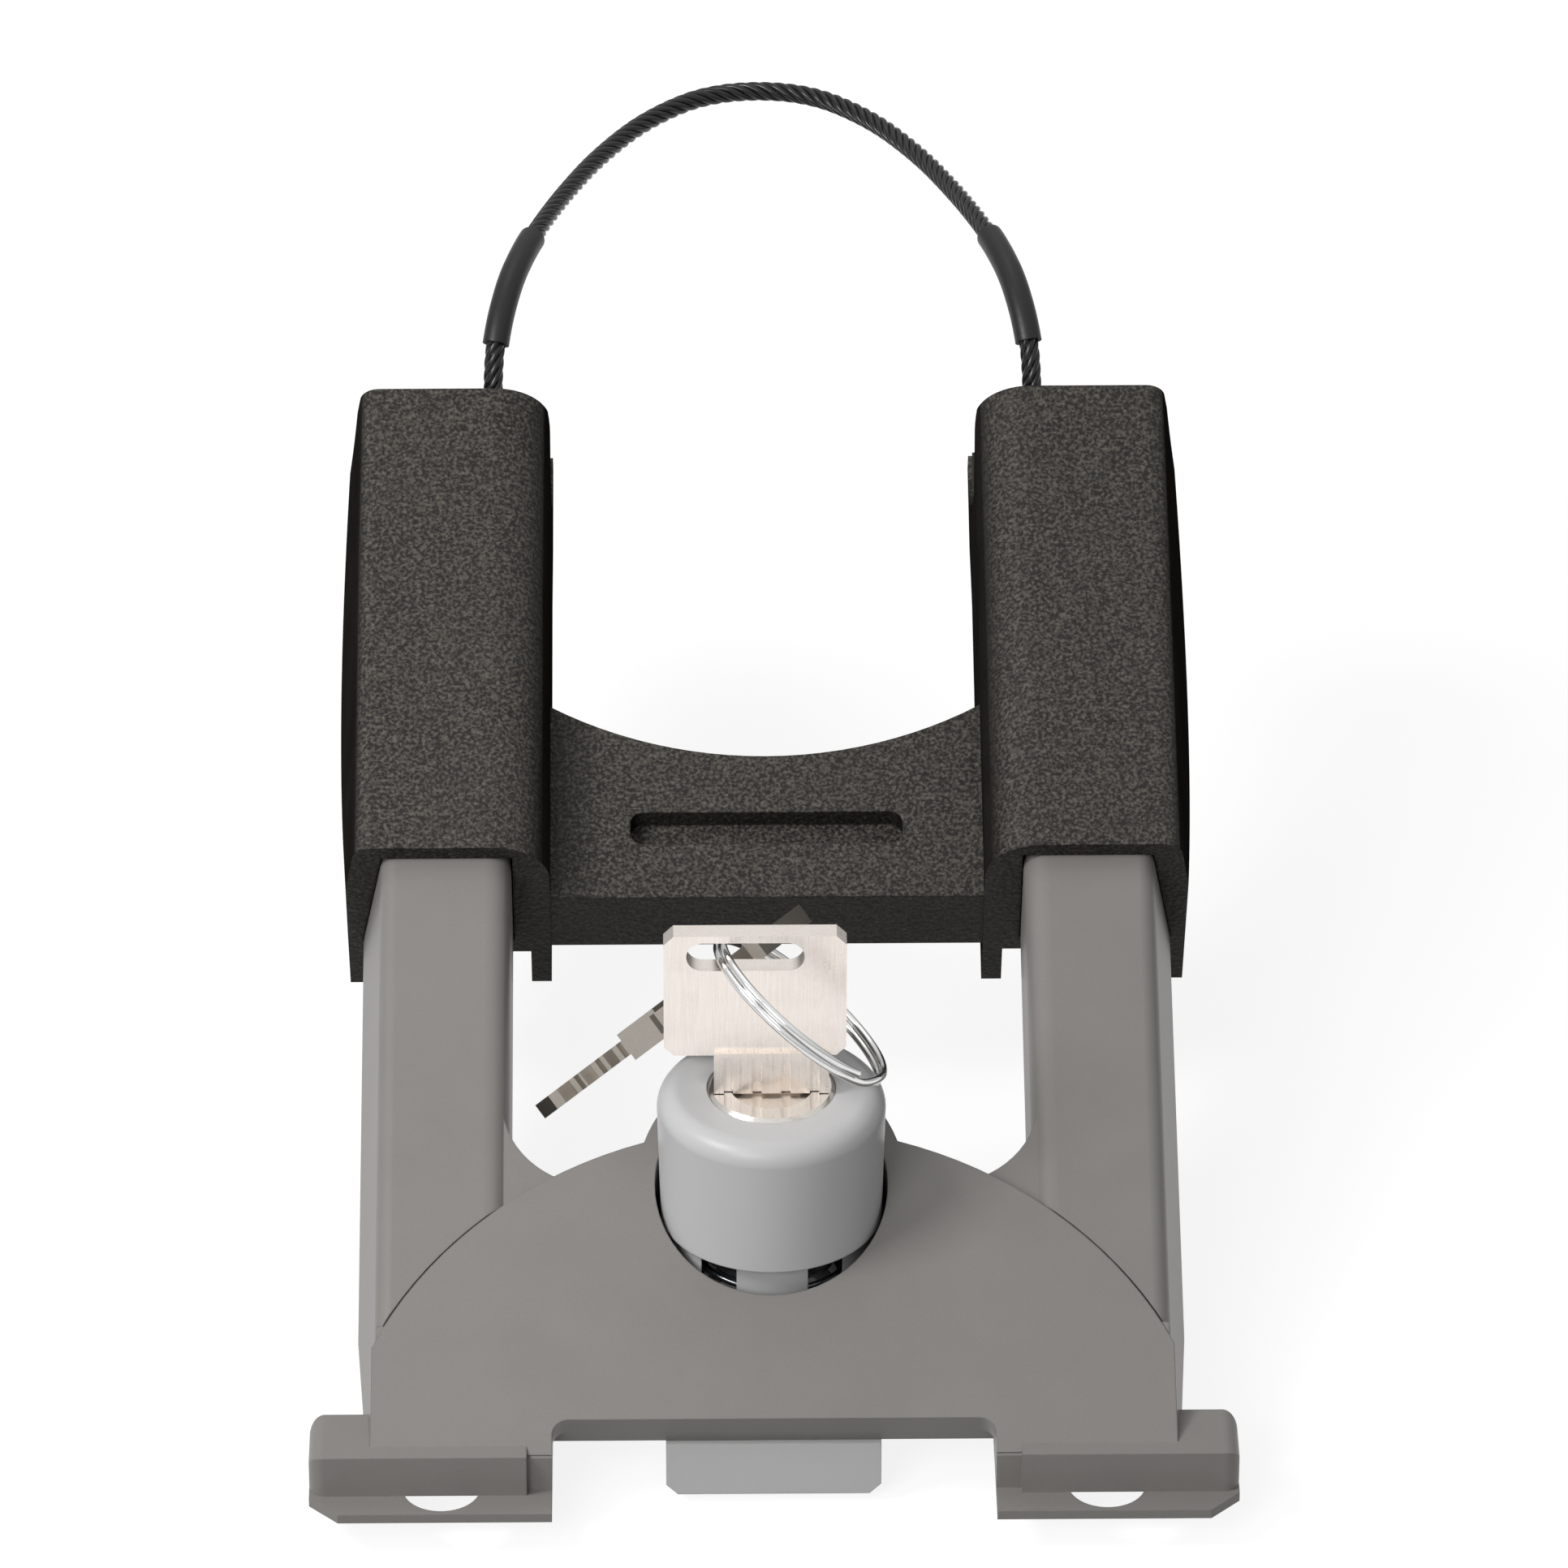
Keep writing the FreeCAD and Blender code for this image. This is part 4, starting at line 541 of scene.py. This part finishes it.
@dataclass
class Cable:
    """The loop of coated rope that ties the mount down, and its two straight tails."""

    diameter: float = 2.5
    length: float = 162.8
    strand: float = 0.41
    strands: int = 6
    strand_sides: int = 12
    lay: float = 10.0
    step: float = 0.4
    core_reach: float = 0.8
    core_steps: int = 6
    curve_steps: int = 12
    route: tuple[Point, ...] = (
        (34.2, -18.23, 6.635), (34.2, -16.23, 12.13), (33.3, -12.3, 16.4), (31.9, -7.0, 19.3),
        (30.1, -0.8, 20.3), (27.8, 7.2, 20.0), (24.9, 16.5, 19.2), (20.9, 26.4, 18.8),
        (14.6, 36.4, 19.0), (5.9, 43.4, 19.3))

    def points(self) -> list[Vector]:
        """The control points from the right sleeve to the left one.

        Returns:
            The points in metres.
        """
        right = [Vector(point) * MM for point in self.route]
        return right + [Vector((-point.x, point.y, point.z)) for point in reversed(right)]

    def line(self, name: str) -> bpy.types.Curve:
        """The loop's middle line.

        Args:
            name: The curve's name.

        Returns:
            A curve of one open spline.
        """
        points = self.points()
        curve = bpy.data.curves.new(name, "CURVE")
        curve.dimensions = "3D"
        curve.resolution_u = self.curve_steps
        spline = curve.splines.new("NURBS")
        spline.points.add(len(points) - 1)
        for target, point in zip(spline.points, points):
            target.co = (*point, 1.0)
        spline.order_u = 3
        spline.use_endpoint_u = True
        return curve

    def strands_mesh(self) -> bpy.types.Mesh:
        """Winds the rope's outer strands round the loop's line.

        Returns:
            The strands, as one mesh.
        """
        tree = Growth("rope", {
            "Strands": self.strands, "Points": int(self.length / self.step),
            "Lay": self.lay * MM, "Winding radius": (self.diameter / 2 - self.strand) * MM,
            "Strand radius": self.strand * MM})
        spaced = tree.add("GeometryNodeResampleCurve", named={
            "Curve": tree.given["Geometry"], "Count": tree.given["Points"]})
        copies = tree.add("GeometryNodeDuplicateElements", domain="SPLINE", named={
            "Geometry": spaced, "Amount": tree.given["Strands"]})
        start = tree.add("ShaderNodeMath", copies.outputs["Duplicate Index"],
                         tree.given["Strands"], operation="DIVIDE")
        along = tree.add("GeometryNodeSplineParameter").outputs["Length"]
        turned = tree.add("ShaderNodeMath", along, tree.given["Lay"], operation="DIVIDE")
        turns = tree.add("ShaderNodeMath", start, turned, operation="ADD")
        angle = tree.add("ShaderNodeMath", turns, 2 * math.pi, operation="MULTIPLY")
        normal = tree.add("GeometryNodeInputNormal").outputs["Normal"]
        tangent = tree.add("GeometryNodeInputTangent").outputs["Tangent"]
        aside = tree.add("ShaderNodeVectorMath", tangent, normal, operation="CROSS_PRODUCT")
        parts = []
        for direction, wave in ((normal, "COSINE"), (aside, "SINE")):
            share = tree.add("ShaderNodeMath", angle, operation=wave)
            parts.append(tree.add("ShaderNodeVectorMath", direction, operation="SCALE",
                                  named={"Scale": share}))
        spoke = tree.add("ShaderNodeVectorMath", *parts, operation="ADD")
        offset = tree.add("ShaderNodeVectorMath", spoke, operation="SCALE",
                          named={"Scale": tree.given["Winding radius"]})
        wound = tree.add("GeometryNodeSetPosition", named={
            "Geometry": copies, "Offset": offset})
        return tree.grow(wound, tree.given["Strand radius"], self.strand_sides,
                         Finish.ROPE_STRAND.value.build(), self.line("rope_line"))

    def build(self) -> None:
        """Draws the loop's core as one curve, winds its strands and finishes the tails."""
        points = self.points()
        curve = self.line("cable")
        curve.bevel_depth = (self.diameter / 2 - self.strand * self.core_reach) * MM
        curve.bevel_resolution = self.core_steps
        # Glossy black, with slanted ribs where the strands press against the coat; their pale
        # colour is a painted highlight.
        coat = CoatedRope("wire rope in a black vinyl coat, extruded", "0d0d0f", "5a5a5d",
                          self.length).build()
        curve.materials.append(coat)
        strands = put("cable_strands", self.strands_mesh())
        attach(strands, "bracket")
        loop = put("cable", curve)
        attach(loop, "bracket")
        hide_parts("cable_loop")
        for side in ("right", "left"):
            tail = frame["nodes"][f"cable_tail_{side}"]
            tail.data.materials.clear()
            tail.data.materials.append(coat)


@dataclass
class SplitRing:
    """The key ring: two flat turns of wire that change level where the ends lie."""

    radius: float = 12.6
    wire: float = 0.5
    wire_sides: int = 16
    points: int = 360
    step_turn: float = 0.09
    gap_turn: float = 0.012
    level_share: float = 0.98
    centre: Point = (3.5, -121.4, -17.2)
    tilt: float = 33.0
    turn: float = 41.6
    lean: float = 14.0

    def ways(self) -> tuple[Vector, Vector]:
        """The ring's two directions in its own plane.

        Returns:
            The way that runs down to the right, and the way that runs back.
        """
        tilt, turn, lean = (math.radians(angle) for angle in (self.tilt, self.turn, self.lean))
        right = Vector((1.0, 0.0, 0.0))
        rise = Vector((0.0, math.sin(tilt), math.cos(tilt)))
        towards = Vector((0.0, -math.cos(tilt), math.sin(tilt)))
        aside = right * math.sin(turn) + rise * math.cos(turn)
        return (right * math.cos(turn) - rise * math.sin(turn),
                aside * math.sin(lean) - towards * math.cos(lean))

    def wound_mesh(self) -> bpy.types.Mesh:
        """Winds the wire round the origin, flat.

        Returns:
            The wire, as one mesh.
        """
        tree = Growth("split_ring", {
            "Turns": 2.0 - self.step_turn - self.gap_turn, "Step": self.step_turn,
            "Ring radius": self.radius * MM, "Wire radius": self.wire * MM,
            "Points": self.points})
        line = tree.add("GeometryNodeCurvePrimitiveLine")
        spaced = tree.add("GeometryNodeResampleCurve", named={
            "Curve": line, "Count": tree.given["Points"]})
        share = tree.add("GeometryNodeSplineParameter").outputs["Factor"]
        turned = tree.add("ShaderNodeMath", share, tree.given["Turns"], operation="MULTIPLY")
        angle = tree.add("ShaderNodeMath", turned, 2 * math.pi, operation="MULTIPLY")
        above = tree.add("ShaderNodeMath", tree.given["Wire radius"], self.level_share,
                         operation="MULTIPLY")
        below = tree.add("ShaderNodeMath", above, -1.0, operation="MULTIPLY")
        start = tree.add("ShaderNodeMath", 1.0, tree.given["Step"], operation="SUBTRACT")
        level = tree.add("ShaderNodeMapRange", turned, start, 1.0, below, above,
                         interpolation_type="SMOOTHSTEP")
        reach = []
        for wave in ("COSINE", "SINE"):
            part = tree.add("ShaderNodeMath", angle, operation=wave)
            reach.append(tree.add("ShaderNodeMath", part, tree.given["Ring radius"],
                                  operation="MULTIPLY"))
        place = tree.add("ShaderNodeCombineXYZ", *reach, level)
        wound = tree.add("GeometryNodeSetPosition", named={
            "Geometry": spaced, "Position": place})
        return tree.grow(wound, tree.given["Wire radius"], self.wire_sides,
                         Finish.RING_CHROME.value.build())

    def build(self) -> None:
        """Winds the wire and hangs it in the key's slot."""
        mesh = self.wound_mesh()
        long_way, deep_way = self.ways()
        turn = Matrix((long_way, deep_way, long_way.cross(deep_way))).transposed().to_4x4()
        mesh.transform(Matrix.Translation(Vector(self.centre) * MM) @ turn)
        ring = put("split_ring", mesh)
        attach(ring, "ring")
        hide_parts("key_ring")


@dataclass
class ReturnSpring:
    """The coil under the button, which closes up as the button goes down."""

    radius: float = 9.75
    wire: float = 0.45
    wire_sides: int = 16
    turns: float = 5.0
    turn_points: int = 48
    forward: float = 121.4
    travel: float = 4.5

    def build(self) -> None:
        """Winds the coil between its two seats."""
        low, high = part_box("return_spring")
        height = high.z - low.z
        tree = Growth("return_coil", {
            "Turns": self.turns, "Coil radius": self.radius * MM,
            "Wire radius": self.wire * MM, "Rise": height - 2 * self.wire * MM})
        line = tree.add("GeometryNodeCurveSpiral", named={
            "Resolution": self.turn_points, "Rotations": tree.given["Turns"],
            "Start Radius": tree.given["Coil radius"],
            "End Radius": tree.given["Coil radius"], "Height": tree.given["Rise"]})
        mesh = tree.grow(line, tree.given["Wire radius"], self.wire_sides,
                         Finish.SPRING_STEEL.value.build())
        foot = Vector((0.0, -self.forward * MM, low.z + self.wire * MM))
        mesh.transform(Matrix.Translation(foot))
        coil = put("return_coil", mesh)
        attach(coil, "bracket")
        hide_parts("return_spring")
        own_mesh(coil)


@dataclass(frozen=True)
class Lamp:
    """A soft square light that faces the object."""

    name: str
    place: Point
    side: float
    power: float

    def build(self, target: Vector) -> None:
        """Hangs the lamp.

        Args:
            target: The point it faces, in metres.
        """
        data = bpy.data.lights.new(self.name, "AREA")
        data.shape = "SQUARE"
        data.size = self.side
        data.energy = self.power
        light = put(self.name, data)
        light.location = self.place
        aim = target - Vector(self.place)
        light.rotation_euler = aim.to_track_quat("-Z", "Y").to_euler()


@dataclass
class Studio:
    """A white sweep, soft lights and the camera. Lamps and floor are in metres and watts."""

    azimuth: float = -0.6
    elevation: float = 31.8
    distance: float = 1300.0
    frame_width: float = 194.4
    target: Point = (0.0, -69.2, -16.6)
    shift: tuple[float, float] = (0.011, -0.0054)
    sensor: float = 36.0
    floor_level: float = -69.6 * MM
    floor_half: float = 3.0
    paper: str = "8c8c8c"
    paper_grain: float = 1.25
    paper_roughness: tuple[float, float] = (0.8, 1.0)
    paper_glow: float = 0.86
    room_light: float = 0.3
    room_span: tuple[float, float] = (-0.2, 0.9)
    room_seen: tuple[float, float] = (0.35, 1.0)
    lamps: tuple[Lamp, ...] = (
        Lamp("key_light", (-0.32, -0.26, 0.34), 0.16, 1.35),
        Lamp("front_light", (-0.35, -0.85, 0.5), 0.4, 2.8),
        Lamp("top_light", (-0.1, 0.3, 0.8), 0.4, 0.5))

    def back(self) -> Vector:
        """The direction from the object to the camera.

        Returns:
            A unit vector.
        """
        turn, rise = math.radians(self.azimuth), math.radians(self.elevation)
        return Vector((math.sin(turn) * math.cos(rise), -math.cos(turn) * math.cos(rise),
                       math.sin(rise)))

    def add_camera(self) -> None:
        """Places the camera and makes it the scene's own."""
        data = bpy.data.cameras.new("camera")
        data.sensor_width = self.sensor
        data.lens = self.sensor * self.distance / self.frame_width
        data.shift_x, data.shift_y = self.shift
        data.clip_start, data.clip_end = 0.05, 20.0
        camera = put("camera", data)
        camera.location = Vector(self.target) * MM + self.back() * self.distance * MM
        camera.rotation_euler = (-self.back()).to_track_quat("-Z", "Y").to_euler()
        bpy.context.scene.camera = camera

    def seen_directly(self, tree: Tree, path: bpy.types.Node) -> bpy.types.Node:
        """Tells the rays that look at the background from those that carry its light.

        Args:
            tree: The tree to add the nodes to.
            path: The node that tells the kinds of ray apart.

        Returns:
            A node that gives one for rays from the camera, a mirror or a glass, and zero for
            the rest.
        """
        mirrored = tree.add("ShaderNodeMath", path.outputs["Is Glossy Ray"],
                            path.outputs["Is Transmission Ray"], operation="MAXIMUM")
        return tree.add("ShaderNodeMath", path.outputs["Is Camera Ray"], mirrored,
                        operation="MAXIMUM")

    def add_floor(self) -> None:
        """Lays a pale floor that the camera sees as plain white."""
        # A flat white with no highlight, on which only the object's shadow shows.
        paint = Paint("white paper sweep, matte")
        fine = paint.add("ShaderNodeTexNoise", named={
            "Vector": paint.place(), "Scale": 1 / self.paper_grain, **PAPER_NOISE})
        rough = paint.add("ShaderNodeMapRange", fine, 0.0, 1.0, *self.paper_roughness)
        paper = paint.add("ShaderNodeBsdfDiffuse", srgb(self.paper), rough)
        glow = paint.add("ShaderNodeEmission", srgb(WHITE), self.paper_glow)
        white = paint.add("ShaderNodeAddShader", glow, paper)
        direct = self.seen_directly(paint, paint.add("ShaderNodeLightPath"))
        half = self.floor_half
        corners = [(-half, -half, 0), (half, -half, 0), (half, half, 0), (-half, half, 0)]
        mesh = bpy.data.meshes.new("floor")
        mesh.from_pydata(corners, [], [(0, 1, 2, 3)])
        mesh.materials.append(paint.close(
            paint.add("ShaderNodeMixShader", direct, paper, white)))
        floor = put("floor", mesh)
        floor.location.z = self.floor_level

    def add_world(self) -> None:
        """Fills the room with even light.

        The camera sees the room as white, and metal sees it darker towards the floor.
        """
        world = bpy.data.worlds.new("room")
        world.use_nodes = True
        tree = Tree(world.node_tree)
        path = tree.add("ShaderNodeLightPath")
        place = tree.add("ShaderNodeTexCoord").outputs["Generated"]
        rise = tree.add("ShaderNodeSeparateXYZ", place).outputs["Z"]
        shade = tree.add("ShaderNodeMapRange", rise, *self.room_span, *self.room_seen)
        strength = tree.add("ShaderNodeMath", path.outputs["Is Camera Ray"], shade,
                            operation="MAXIMUM")
        room = tree.add("ShaderNodeBackground", srgb(WHITE), self.room_light)
        seen = tree.add("ShaderNodeBackground", srgb(WHITE), strength)
        mix = tree.add("ShaderNodeMixShader", self.seen_directly(tree, path), room, seen)
        tree.add("ShaderNodeOutputWorld", mix)
        bpy.context.scene.world = world

    def build(self) -> None:
        """Sets the whole studio."""
        self.add_world()
        self.add_floor()
        for lamp in self.lamps:
            lamp.build(Vector(self.target) * MM)
        bpy.context.scene.view_settings.view_transform = "Standard"
        self.add_camera()


def main() -> None:
    """Builds the studio, the drawn pieces and every finish."""
    logging.basicConfig(level=logging.INFO, format="%(name)s: %(message)s")
    Studio().build()
    LOG.info("studio set")
    Cable().build()
    LOG.info("cable drawn")
    SplitRing().build()
    LOG.info("ring wound")
    ReturnSpring().build()
    LOG.info("spring wound")
    Mouldings().build()
    LOG.info("finishes on %d nodes", len(frame["nodes"]))


if __name__ == "__main__":
    main()
